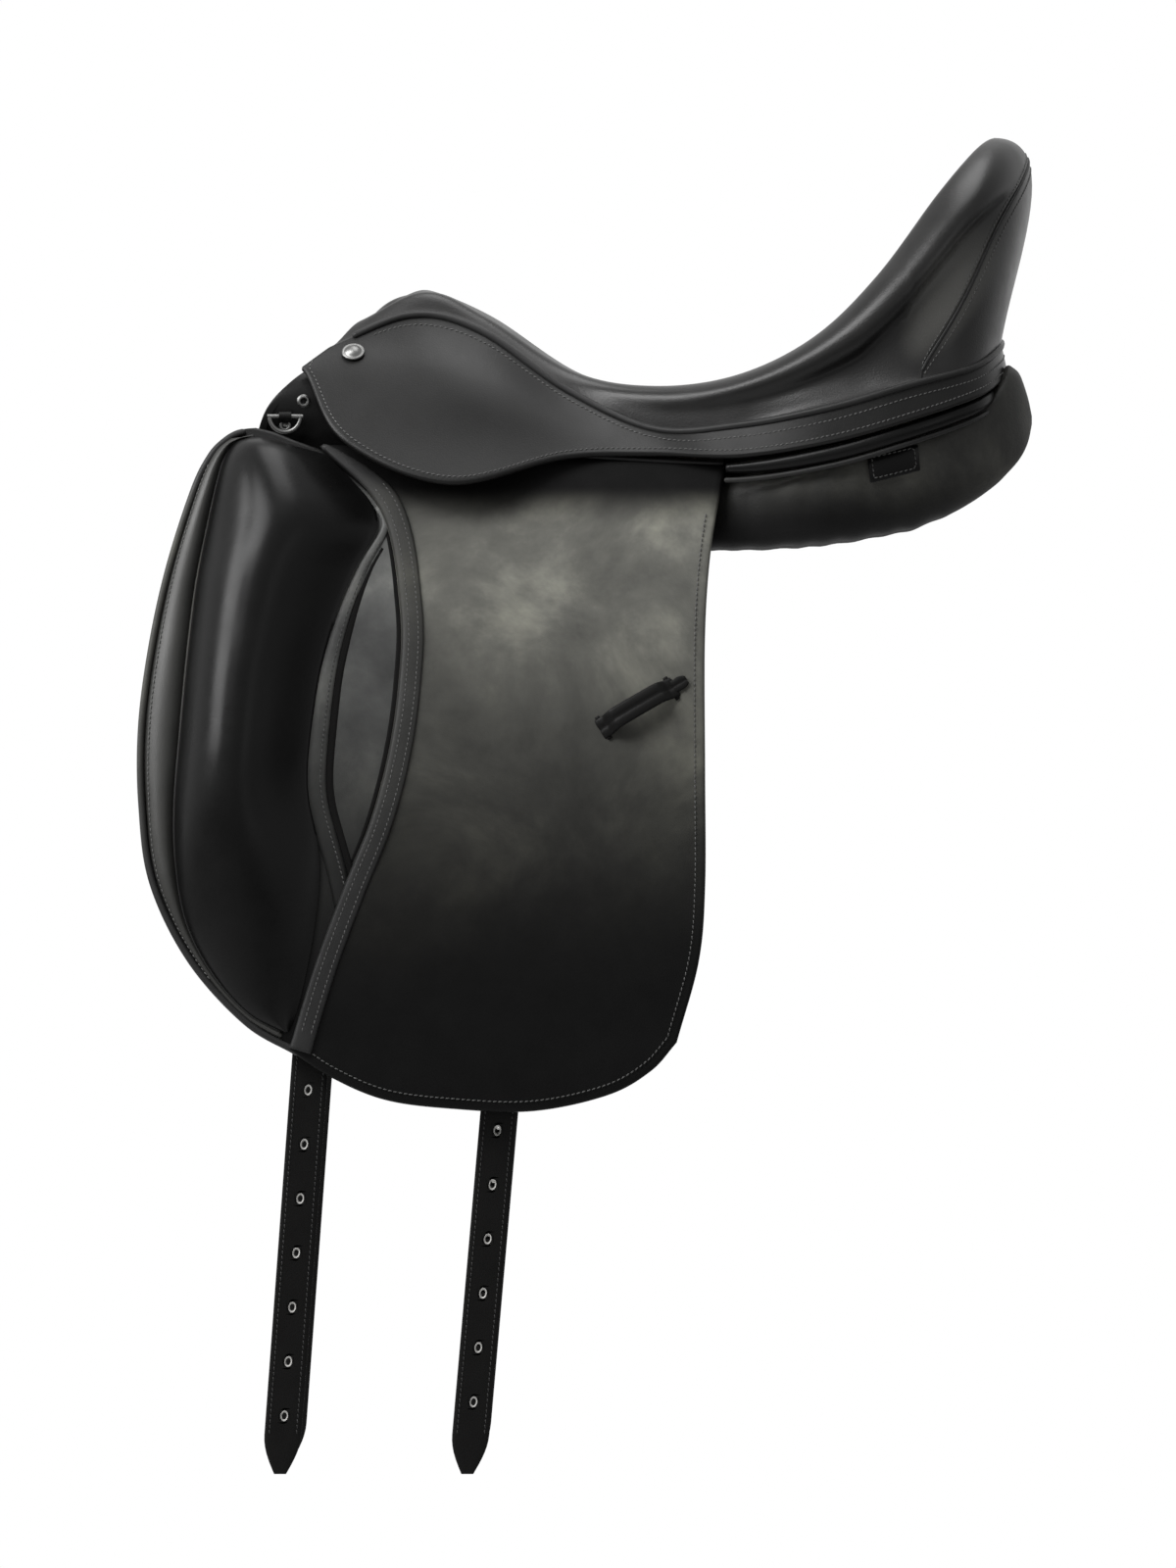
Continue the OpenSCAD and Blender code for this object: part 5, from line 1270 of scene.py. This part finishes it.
def make_sweat_flaps():
    plan = patch([SWEAT_FRONT[0], SWEAT_REAR[0]], SWEAT_LOW, SWEAT_FRONT, SWEAT_REAR, 61, 41)
    sheet = shell(on_flap(plan, SWEAT_OUT), SWEAT_T, (0, -1, 0), 0.4)
    outline = np.vstack([along(SWEAT_FRONT, np.linspace(0.05, 1, 90))[:-1],
                         along(SWEAT_LOW, np.linspace(0, 1, 90))[:-1],
                         along(SWEAT_REAR, np.linspace(1, 0.05, 90))])
    line = beside(even(outline, 2.0), EDGE_SEWN)
    pair("sweat_flap_leather", sheet, "lining_leather", "lining", node="sweat_flap")
    sew("sweat_flap_stitching", [stitch_row(on_flap(line, SWEAT_OUT), flap_normals(line))])


def make_gullet():
    rows = [curve(CENTRE_LINE, t) - UP * 47 for t in np.linspace(0.75, 6, 62)]
    rows += [curve([rows[-1], [rear_x(0.8), 0, SEAT_H - 24], [rear_x(0.95), 0, SEAT_H - 13],
                    [rear_x(1.0), 0, SEAT_H + 3]], t) for t in np.linspace(0.1, 3, 36)]
    panel_rows = np.array(PANEL_ROWS)
    f = np.linspace(-1, 1, 41)
    grid = []
    for p in rows:
        s4, z4 = (np.interp(p[0], panel_rows[:, 0], panel_rows[:, k]) for k in (7, 8))
        z = p[2] - 2 - 12 * f * f
        z = z - max(0, z[0] - z4 + 4) * smooth01((np.abs(f) - 0.78) / 0.2)
        grid.append(np.stack([np.full(len(f), p[0]), f * (s4 + 1.5), z], axis=1))
    lining = add_piece("gullet_lining_leather", *shell(grid, 2, (0, 0, -1), 0.4), finish("lining_leather"))
    fit(lining, ROOT, "lining", "gullet_lining")


FACING_IN = [[-254, 54, 54], [-250, 54, 78], [-238, 48, 92], [-220, 40, 104], [-202, 30, 113], [-186, 17, 120],
             [-180, 0, 123]]
FACING_FRONT = [[-267, 77, 64], [-259, 80, 90], [-244, 73, 108], [-225, 58, 122], [-206, 44, 133], [-190, 25, 146],
                [-183, 0, 152]]
FACING_BACK = [62, 54, 40, 26, 16, 18, 20]
ARCH_REAR = [[-150, 36, 66], [-150, 36, 84], [-151, 34, 97], [-152, 28, 107], [-153, 19, 113], [-154, 9, 117],
             [-154, 0, 118]]
EYELET_AT, EYELET_AXIS = [-247, -80.2, 79.4], [-0.06, -1.0, 0.04]
EYELET = [(0.3, -0.6), (1.7, -0.5), (1.9, 0.4), (2.4, 0.8), (3.1, 0.9), (3.8, 0.6), (4.0, 0.0), (3.9, -1.2),
          (0.3, -1.4)]


def make_pommel():
    inner, outer, back, rear = (whole(line) for line in (FACING_IN, FACING_FRONT, FACING_BACK, ARCH_REAR))
    rows = []
    for f in np.linspace(0, 1, 161):
        a, b, r = along(inner, f), along(outer, f), along(back, f)
        flat = unit(np.array([0, b[1], b[2] - 70]))
        line = [a, lerp(a, b, 0.55) + [-4, 0, 0], b - flat * 2.5, b + [6, 0, 0], b + [r + 3, 0, 0] - flat]
        rows.append(curve(line, np.linspace(0, 4, 41)))
    facing = add_piece("pommel_facing_leather", *shell(rows, 5, (-1, 0, 0.3), 0.4), finish("block_leather"))
    fit(facing, ROOT, "panel_leather", "pommel_facing")
    rows = []
    for f in np.linspace(0, 1, 121):
        a, b = along(inner, f) + [1.5, 0, 0], along(rear, f)
        rows.append(curve([a, lerp(a, b, 0.5) - [0, 0, 2], b], np.linspace(0, 2, 25)))
    lining = add_piece("pommel_arch_lining", *shell(rows, 1.6, (0, 0, -1), 0.3), finish("lining_leather"))
    fit(lining, ROOT, "lining")
    pair("dee_eyelet", lathe(EYELET_AT, EYELET_AXIS, EYELET), "bright_steel", "steel")


def finish_hardware():
    for side in SIDES:
        for node in ("dee", "stirrup_bar", "bar_catch"):
            paint_node(f"{side}_{node}", "bright_steel")
        paint_node(f"{side}_dee_loop", "strap_leather")
    for node in ("head_buttons", "bar_rivets", "catch_pins", "tree_rivets"):
        paint_node(node, "bright_steel")


BILLETS = {"front": (-203, 4.2, 350, 7), "rear": (-73.5, 5.0, 376, 6)}
BILLET_TOP, BILLET_DROP, BILLET_W, BILLET_T, BILLET_OUT = 34, 598, 24, 4.4, -13.5
TIP_LEN, TOP_LEN, HOLE_PITCH = 26, 9, 35
HOLE_WIDE, HOLE_TALL, HOLE_ROOM, HOLE_SIDES, HOLE_COLUMN = 2.3, 3.3, 9.0, 16, 3
HOLE_RINGS = (1.55, 0.0), (1.15, -0.15), (1.0, -0.6)
# Section of the pale rings in each hole's wall, painted light seen through the holes.
HOLE_LIGHT_RING = [(1.05, 0.04), (0.97, 0.06), (0.68, -0.8), (0.68, 0.8 - BILLET_T), (0.97, -0.06 - BILLET_T),
             (1.05, -0.04 - BILLET_T)]
STRAP_COLUMNS = [-1.0, -0.93, -0.8, -0.36, 0.36, 0.8, 0.93, 1.0]
STRAP_SAG = [-1.1, -0.25, 0.0, 0.0, 0.0, 0.0, -0.25, -1.1]
STRAP_SEWN = BILLET_W / 2 - 3.2


def billet_half(z):
    """Half a girth strap's width, less at its top and its tip."""
    f = np.clip((z + BILLET_DROP) / TIP_LEN, 0, 1)
    g = np.clip((BILLET_TOP - z) / TOP_LEN, 0, 1)
    return BILLET_W / 2 * (0.3 + 0.7 * np.sin(np.pi / 2 * f)) * (0.35 + 0.65 * np.sin(np.pi / 2 * g))


def strap_point(x0, lean, a, z, out):
    """Places on a near girth strap: a across it, out from its outer face."""
    x = x0 - (BILLET_TOP - z) * math.tan(math.radians(lean)) + a
    return np.stack([x, -(flap_s(TOE_X, np.maximum(z, -FLAP_DROP)) + BILLET_OUT + out), z], axis=-1)


def strap_hole_light_rings(x0, lean, holes):
    """Pale rings in the walls of a strap's holes, as painted light seen through the holes. Gives points and faces."""
    turns = np.linspace(0, 2 * math.pi, 24, endpoint=False)
    rows, columns = len(turns), len(HOLE_LIGHT_RING)
    faces = [[i * columns + j, i * columns + (j + 1) % columns, (i + 1) % rows * columns + (j + 1) % columns,
              (i + 1) % rows * columns + j] for i in range(rows) for j in range(columns)]
    return merge([(np.array([strap_point(x0, lean, HOLE_WIDE * size * math.cos(a), z + HOLE_TALL * size * math.sin(a),
                                         out) for a in turns for size, out in HOLE_LIGHT_RING]), faces) for z in holes])


def strap_levels(holes):
    """Heights of a strap's rows, closer at its top, its holes and its tip."""
    levels = [BILLET_TOP - d for d in (0, 1.5, 4, 6.5, 9)]
    levels += list(np.linspace(18, holes[0] + HOLE_ROOM + 6, 40))
    for z in holes:
        levels += [z + HOLE_ROOM / 2, z - HOLE_ROOM / 2]
    levels += list(np.linspace(holes[-1] - 9, -BILLET_DROP + TIP_LEN, 3))
    levels += [-BILLET_DROP + TIP_LEN * f for f in (0.85, 0.7, 0.55, 0.4, 0.28, 0.16, 0.07, 0.02)]
    return sorted(set(np.round(levels, 3)), reverse=True)


def band(first, second):
    """Faces between two rings of a hole, from the number of each ring's first point."""
    steps = [(m, (m + 1) % HOLE_SIDES) for m in range(HOLE_SIDES)]
    return [[first + a, first + b, second + b, second + a] for a, b in steps]


def billet_strap(x0, lean, holes):
    """A girth strap with rounded edges and punched oval holes. Gives points and faces."""
    levels = strap_levels(holes)
    rows, columns = len(levels), len(STRAP_COLUMNS)
    layers = (1, 0.0, 0), (-1, -BILLET_T, rows * columns)
    holed = {levels.index(round(z + HOLE_ROOM / 2, 3)): z for z in holes}
    punched = {i * columns + HOLE_COLUMN for i in holed}
    points, faces = [], walls(rows, columns)
    for sign, depth, first in layers:
        for z in levels:
            half = float(billet_half(z))
            points += [strap_point(x0, lean, c * half, z, depth + sign * s) for c, s in zip(STRAP_COLUMNS, STRAP_SAG)]
        faces += [quad for quad in grid_faces(rows, columns, first) if quad[0] - first not in punched]
    quarter = HOLE_SIDES // 4
    for i, z in holed.items():
        rims = []
        for sign, depth, first in layers:
            ring = []
            for scale, sink in HOLE_RINGS:
                ring.append(len(points))
                points += [strap_point(x0, lean, HOLE_WIDE * scale * math.cos(a), z + HOLE_TALL * scale * math.sin(a),
                                       depth + sign * sink)
                           for a in np.linspace(0, 2 * math.pi, HOLE_SIDES, endpoint=False)]
            k = first + i * columns + HOLE_COLUMN
            corners = [k + 1, k, k + columns, k + columns + 1]
            for q in range(4):
                near, far = corners[(q - 1) % 4], corners[q]
                for m in range(quarter):
                    a, b = (ring[0] + (q * quarter + step) % HOLE_SIDES for step in (m, m + 1))
                    faces.append([a, b, near if m < quarter // 2 else far])
                faces.append([ring[0] + (q * quarter + quarter // 2) % HOLE_SIDES, far, near])
            for inner, outer in zip(ring, ring[1:]):
                faces += band(inner, outer)
            rims.append(ring[-1])
        faces += band(*rims)
    return np.array(points, float), faces


def make_girth_straps():
    zs = np.linspace(14, -BILLET_DROP + TIP_LEN, 320)
    for which, (x0, lean, first, count) in BILLETS.items():
        holes = [-first - k * HOLE_PITCH for k in range(count)]
        body = f"{which}_billet_body"
        pair(f"{which}_girth_strap", billet_strap(x0, lean, holes), "strap_leather", "strap_leather", body,
             f"{which}_billet", sharp=60)
        # Painted light: pale rings in the holes' walls.
        pair(f"{which}_strap_hole_edges", strap_hole_light_rings(x0, lean, holes), "cut_edge", "strap_leather", body)
        rows = [stitch_row(strap_point(x0, lean, edge, zs, 0.0), np.tile([0, -1.0, 0.1], (len(zs), 1)))
                for edge in (-STRAP_SEWN, STRAP_SEWN)]
        sew(f"{which}_strap_stitching", rows, body, "dark_thread")


WING_S, WING_Z = 73, 62
WEB_T, SLING_T, TREE_T = 1.8, 2, 7


def tree_rail(t, depth):
    """Point of the tree's rail under the welt."""
    return seat_rib(t, [1.97], depth)[0]


def make_webs():
    tree_top = LEATHER_T + LAYER + FOAM_T + 5 * LAYER
    foot_y = -(flap_s(TOE_X, BILLET_TOP) + BILLET_OUT)
    front = [np.array([-179 + k, -(WING_S - 2.1), WING_Z + 8]) for k in (-12, 12)]
    rear = [tree_rail(t, tree_top + TREE_T + 0.9) for t in (2.78, 3.2)]
    parts = []
    for (x0, _, _, _), tops in zip(BILLETS.values(), (front, rear)):
        feet = [np.array([x0 + (k - 0.5) * BILLET_W, foot_y, BILLET_TOP + 2.4]) for k in (0, 1)]
        rows = []
        for v in np.linspace(0, 1, 25):
            ends = [lerp(top, foot, v) for top, foot in zip(tops, feet)]
            rows.append(lerp(ends[0], ends[1], np.linspace(0, 1, 13)[:, None]))
        parts.append(shell(rows, WEB_T, (0, -1, 0.8), 0.3))
    pair("strap_webs", merge(parts), "web", "web", node="billet_webs")
    rows = np.array([seat_rib(t, np.linspace(0, 0.72, 19), tree_top) for t in np.linspace(2.33, 6.36, 61)])
    full = np.concatenate([rows[:, :0:-1], rows * [1, -1, 1]], axis=1)
    sling = add_piece("seat_sling_web", *shell(full, SLING_T, (0, 0, 1), 0.3), finish("web"))
    fit(sling, ROOT, "web", "seat_webs")


def dress_tree():
    for node in ("tree_frame", "tree_head"):
        paint_node(node, "beech")
    for node in ("head_plate", "tree_springs"):
        paint_node(node, "spring_steel")


# Stage

LAMPS = {  # place, aim and size, in metres
    "key": ((-1.2, -1.2, 1.75), (-0.08, -0.05, 0.0), (1.1, 0.9)),
    "fill": ((1.7, -1.7, 0.5), (0.0, 0.0, -0.1), (0.9, 1.2)),
    "top": ((0.15, 0.05, 2.1), (0.0, 0.0, 0.0), (1.7, 1.1)),
    "edge": ((-1.75, -0.6, 0.95), (-0.3, -0.1, -0.02), (1.1, 1.0)),
}
PIXEL = 0.637 * MM
PHOTO_SIZE, ORIGIN_PIXEL = (1200, 1600), (680, 560)
CAMERA_AWAY, SENSOR = 20.0, 36


def make_world(levels):
    """White to the camera, in gloss and through glass, and a soft light elsewhere."""
    world = bpy.data.worlds.new("studio")
    bpy.context.scene.world = world
    sky = Finish(world)
    camera = sky.add("ShaderNodeLightPath", out="Is Camera Ray")
    glossy, clear = (Shade(sky, camera.socket.node.outputs[way]) for way in ("Is Glossy Ray", "Is Transmission Ray"))
    seen = sky.add("ShaderNodeMath", {"operation": "MAXIMUM"}, {0: camera, 1: clear})
    level = seen * (1 - levels.ambient) + levels.ambient + glossy * (levels.mirror - levels.ambient)
    sky.add_output("ShaderNodeOutputWorld",
                   sky.add("ShaderNodeBackground", {}, {"Color": (1, 1, 1, 1), "Strength": level}))


def make_floor(levels):
    half, z = levels.floor_size / 2, levels.floor_z
    mesh = bpy.data.meshes.new("floor")
    mesh.from_pydata([(-half, -half, z), (half, -half, z), (half, half, z), (-half, half, z)], [], [(0, 1, 2, 3)])
    floor = bpy.data.objects.new("floor", mesh)
    bpy.context.scene.collection.objects.link(floor)
    ground = Finish(bpy.data.materials.new("pale_floor"))
    tint_clouds = ground.clouds(ground.place(), 3, 2.0)
    plain = ground.add("ShaderNodeBsdfPrincipled", {}, {
        "Base Color": ground.mix(tint_clouds, rgb(levels.floor_colour, 0.99), rgb(levels.floor_colour)),
        "Roughness": tint_clouds * 0.1 + 0.8})
    white = ground.add("ShaderNodeEmission", {}, {"Color": (1, 1, 1, 1), "Strength": 1.0})
    shown = ground.add("ShaderNodeLightPath", out="Is Camera Ray") * levels.floor_white
    ground.add_output("ShaderNodeOutputMaterial", ground.add("ShaderNodeMixShader", {}, {0: shown, 1: plain, 2: white}))
    mesh.materials.append(ground.owner)


def make_lamps(levels):
    for name, (at, aim, size) in LAMPS.items():
        lamp = bpy.data.lights.new(f"{name}_lamp", "AREA")
        lamp.shape = "RECTANGLE"
        lamp.size, lamp.size_y = size
        lamp.energy = getattr(levels, name)
        piece = bpy.data.objects.new(f"{name}_lamp", lamp)
        piece.location = at
        piece.rotation_euler = (Vector(aim) - Vector(at)).to_track_quat("-Z", "Y").to_euler()
        bpy.context.scene.collection.objects.link(piece)


def make_camera():
    """The photo's view: square on to the near side, from far off."""
    lens = bpy.data.cameras.new("photo_camera")
    lens.sensor_fit = "AUTO"
    lens.sensor_width = SENSOR
    lens.lens = SENSOR * CAMERA_AWAY / (PHOTO_SIZE[1] * PIXEL)
    lens.clip_end = 200
    camera = bpy.data.objects.new("photo_camera", lens)
    camera.location = ((PHOTO_SIZE[0] / 2 - ORIGIN_PIXEL[0]) * PIXEL, -CAMERA_AWAY,
                       (ORIGIN_PIXEL[1] - PHOTO_SIZE[1] / 2) * PIXEL)
    camera.rotation_euler = (math.pi / 2, 0, 0)
    bpy.context.scene.collection.objects.link(camera)
    bpy.context.scene.camera = camera


# Settings

def tint(name, about, value):
    return bpy.props.FloatVectorProperty(name=name, description=about, default=value, size=3, min=0, max=1,
                                         subtype="COLOR")


def length(name, about, value):
    return bpy.props.FloatProperty(name=name, description=about, default=value, unit="LENGTH", precision=4)


def number(name, about, value):
    return bpy.props.FloatProperty(name=name, description=about, default=value)


class SaddleColours(bpy.types.PropertyGroup):
    seat: tint("Seat", "Colour of the seat's leather", (0.0042, 0.0041, 0.004))
    # Painted highlight: the lighter soft spot on the seat's flare beside the cantle.
    painted_flare_light: tint("Rubbed seat", "Colour of the seat where it is rubbed beside the cantle", (0.056, 0.0555, 0.052))
    skirt: tint("Skirts", "Colour of the skirts", (0.0042, 0.0042, 0.0041))
    flap: tint("Flaps", "Colour of the flaps and the block's base", (0.0036, 0.0036, 0.0036))
    # Partly wear and partly painted sheen on the flaps, lighter towards the top.
    wear_and_sheen: tint("Worn flap", "Colour of the flap where the leg has rubbed it", (0.152, 0.152, 0.141))
    # Painted sheen on the bases, lighter towards the top of the recess.
    base_painted_sheen: tint("Worn base", "Colour of the base where the leg has rubbed it", (0.165, 0.168, 0.168))
    # Lighter than the other black leathers: painted highlight on the front rolls.
    roll: tint("Front rolls", "Colour of the padded strip in front of the block", (0.016, 0.016, 0.015))
    block: tint("Blocks", "Colour of the blocks", (0.003, 0.003, 0.003))
    panel: tint("Panels", "Colour of the panels", (0.0045, 0.0045, 0.0045))
    # Painted sheen on the panels' top.
    panel_painted_sheen: tint("Worn panels", "Colour of the panels where they are rubbed", (0.056, 0.056, 0.055))
    strap: tint("Straps", "Colour of the girth straps, keepers and linings", (0.0036, 0.0035, 0.0034))
    binding: tint("Bindings", "Colour of the bindings and piping", (0.013, 0.013, 0.013))
    # Painted light: pale rings that stand for light seen through the straps' holes.
    cut_edge: tint("Cut edges", "Colour of the straps' punched edges", (0.3, 0.296, 0.285))
    thread: tint("Thread", "Colour of the stitching", (0.036, 0.036, 0.035))
    steel: tint("Steel", "Colour of the plated steel", (0.11, 0.11, 0.108))
    spring: tint("Spring steel", "Colour of the tree's plates and springs", (0.3, 0.31, 0.33))
    beech: tint("Tree", "Colour of the tree's dark lacquered wood", (0.03, 0.021, 0.015))
    web: tint("Web", "Colour of the woven webs", (0.022, 0.022, 0.022))
    latex: tint("Foam", "Colour of the seat's foam", (0.62, 0.56, 0.42))


class SaddleSewing(bpy.types.PropertyGroup):
    pitch: length("Stitch pitch", "Distance between stitches", 0.0034)
    length: length("Stitch length", "Length of a stitch that shows", 0.0026)
    thread: length("Thread radius", "Radius of the thread", 0.00042)
    slant_deg: number("Slant", "Slant of each stitch in degrees", 9.0)
    flap_wave: length("Flap wave", "How far the flap's leather waves in and out", 0.0007)
    panel_wrinkle: length("Panel wrinkles", "Depth of the panel's wrinkles", 0.0012)
    dish_passes: bpy.props.IntProperty(name="Seat smoothing", description="Times that the seat's middle is evened out",
                                       default=120, min=0)


class SaddleStage(bpy.types.PropertyGroup):
    key: number("Key lamp", "Power of the lamp at the front left", 60.0)
    fill: number("Fill lamp", "Power of the lamp at the right", 3.5)
    top: number("Top lamp", "Power of the lamp above", 40.0)
    edge: number("Edge lamp", "Power of the lamp that grazes the front", 62.0)
    ambient: number("Ambient", "Level of the soft light all round", 0.12)
    mirror: number("Mirrored level", "Level of what gloss mirrors", 1.0)
    floor_z: length("Floor height", "Height of the floor under the saddle", -1.0)
    floor_size: length("Floor size", "Length of the floor's sides", 22.0)
    floor_white: number("Floor white", "Share of plain white that the camera sees", 0.8)
    floor_colour: tint("Floor", "Colour of the floor", (0.86, 0.86, 0.86))


GROUPS = (("saddle_colours", SaddleColours), ("saddle_sewing", SaddleSewing), ("saddle_stage", SaddleStage))


class SADDLE_OT_stage(bpy.types.Operator):
    """Make the floor, the lamps, the world and the camera."""
    bl_idname = "saddle.stage"
    bl_label = "Stage"

    def execute(self, context):
        levels = context.scene.saddle_stage
        context.scene.view_settings.view_transform = "Standard"
        make_world(levels)
        make_floor(levels)
        make_lamps(levels)
        make_camera()
        return {"FINISHED"}


class SADDLE_OT_seat(bpy.types.Operator):
    """Make the seat's leather, its foam, piping and the cantle's facing."""
    bl_idname = "saddle.seat"
    bl_label = "Seat"

    def execute(self, context):
        make_seat()
        make_cantle()
        return {"FINISHED"}


class SADDLE_OT_skirts(bpy.types.Operator):
    """Make the skirts with their stitching and studs."""
    bl_idname = "saddle.skirts"
    bl_label = "Skirts"

    def execute(self, context):
        make_skirts()
        return {"FINISHED"}


class SADDLE_OT_flaps(bpy.types.Operator):
    """Make the flaps with their bindings, stitching and nailing strips."""
    bl_idname = "saddle.flaps"
    bl_label = "Flaps"

    def execute(self, context):
        make_flaps()
        return {"FINISHED"}


class SADDLE_OT_blocks(bpy.types.Operator):
    """Make the front bases and the blocks on them."""
    bl_idname = "saddle.blocks"
    bl_label = "Blocks"

    def execute(self, context):
        make_blocks()
        return {"FINISHED"}


class SADDLE_OT_keepers(bpy.types.Operator):
    """Make the stirrup leather keepers."""
    bl_idname = "saddle.keepers"
    bl_label = "Keepers"

    def execute(self, context):
        make_keepers()
        return {"FINISHED"}


class SADDLE_OT_panels(bpy.types.Operator):
    """Make the panels, gussets, sweat flaps and the lining of the gullet."""
    bl_idname = "saddle.panels"
    bl_label = "Panels"

    def execute(self, context):
        make_panels()
        make_sweat_flaps()
        make_gullet()
        return {"FINISHED"}


class SADDLE_OT_pommel(bpy.types.Operator):
    """Make the pommel's facing and finish the hardware."""
    bl_idname = "saddle.pommel"
    bl_label = "Pommel and hardware"

    def execute(self, context):
        make_pommel()
        finish_hardware()
        return {"FINISHED"}


class SADDLE_OT_girth_straps(bpy.types.Operator):
    """Make the girth straps with their holes and stitching."""
    bl_idname = "saddle.girth_straps"
    bl_label = "Girth straps"

    def execute(self, context):
        make_girth_straps()
        return {"FINISHED"}


class SADDLE_OT_tree(bpy.types.Operator):
    """Finish the tree and make the webs on it."""
    bl_idname = "saddle.tree"
    bl_label = "Tree and webs"

    def execute(self, context):
        dress_tree()
        make_webs()
        return {"FINISHED"}


OPERATORS = (SADDLE_OT_stage, SADDLE_OT_seat, SADDLE_OT_skirts, SADDLE_OT_flaps, SADDLE_OT_blocks,
             SADDLE_OT_keepers, SADDLE_OT_panels, SADDLE_OT_pommel, SADDLE_OT_girth_straps, SADDLE_OT_tree)


class SADDLE_PT_panel(bpy.types.Panel):
    """Settings and pieces of the saddle."""
    bl_label = "Saddle"
    bl_idname = "SADDLE_PT_panel"
    bl_space_type = "VIEW_3D"
    bl_region_type = "UI"
    bl_category = "Saddle"

    def draw(self, context):
        for name, group in GROUPS:
            box = self.layout.box()
            for key in group.__annotations__:
                box.prop(getattr(context.scene, name), key)
        for operator in OPERATORS:
            self.layout.operator(operator.bl_idname)


def register():
    for name, group in GROUPS:
        bpy.utils.register_class(group)
        setattr(bpy.types.Scene, name, bpy.props.PointerProperty(type=group))
    for shown in (*OPERATORS, SADDLE_PT_panel):
        bpy.utils.register_class(shown)


def unregister():
    for shown in (SADDLE_PT_panel, *reversed(OPERATORS)):
        bpy.utils.unregister_class(shown)
    for name, group in reversed(GROUPS):
        delattr(bpy.types.Scene, name)
        bpy.utils.unregister_class(group)


def main():
    register()
    for operator in OPERATORS:
        area, name = operator.bl_idname.split(".")
        getattr(getattr(bpy.ops, area), name)()
    bpy.context.view_layer.update()


if __name__ == "__main__":
    main()
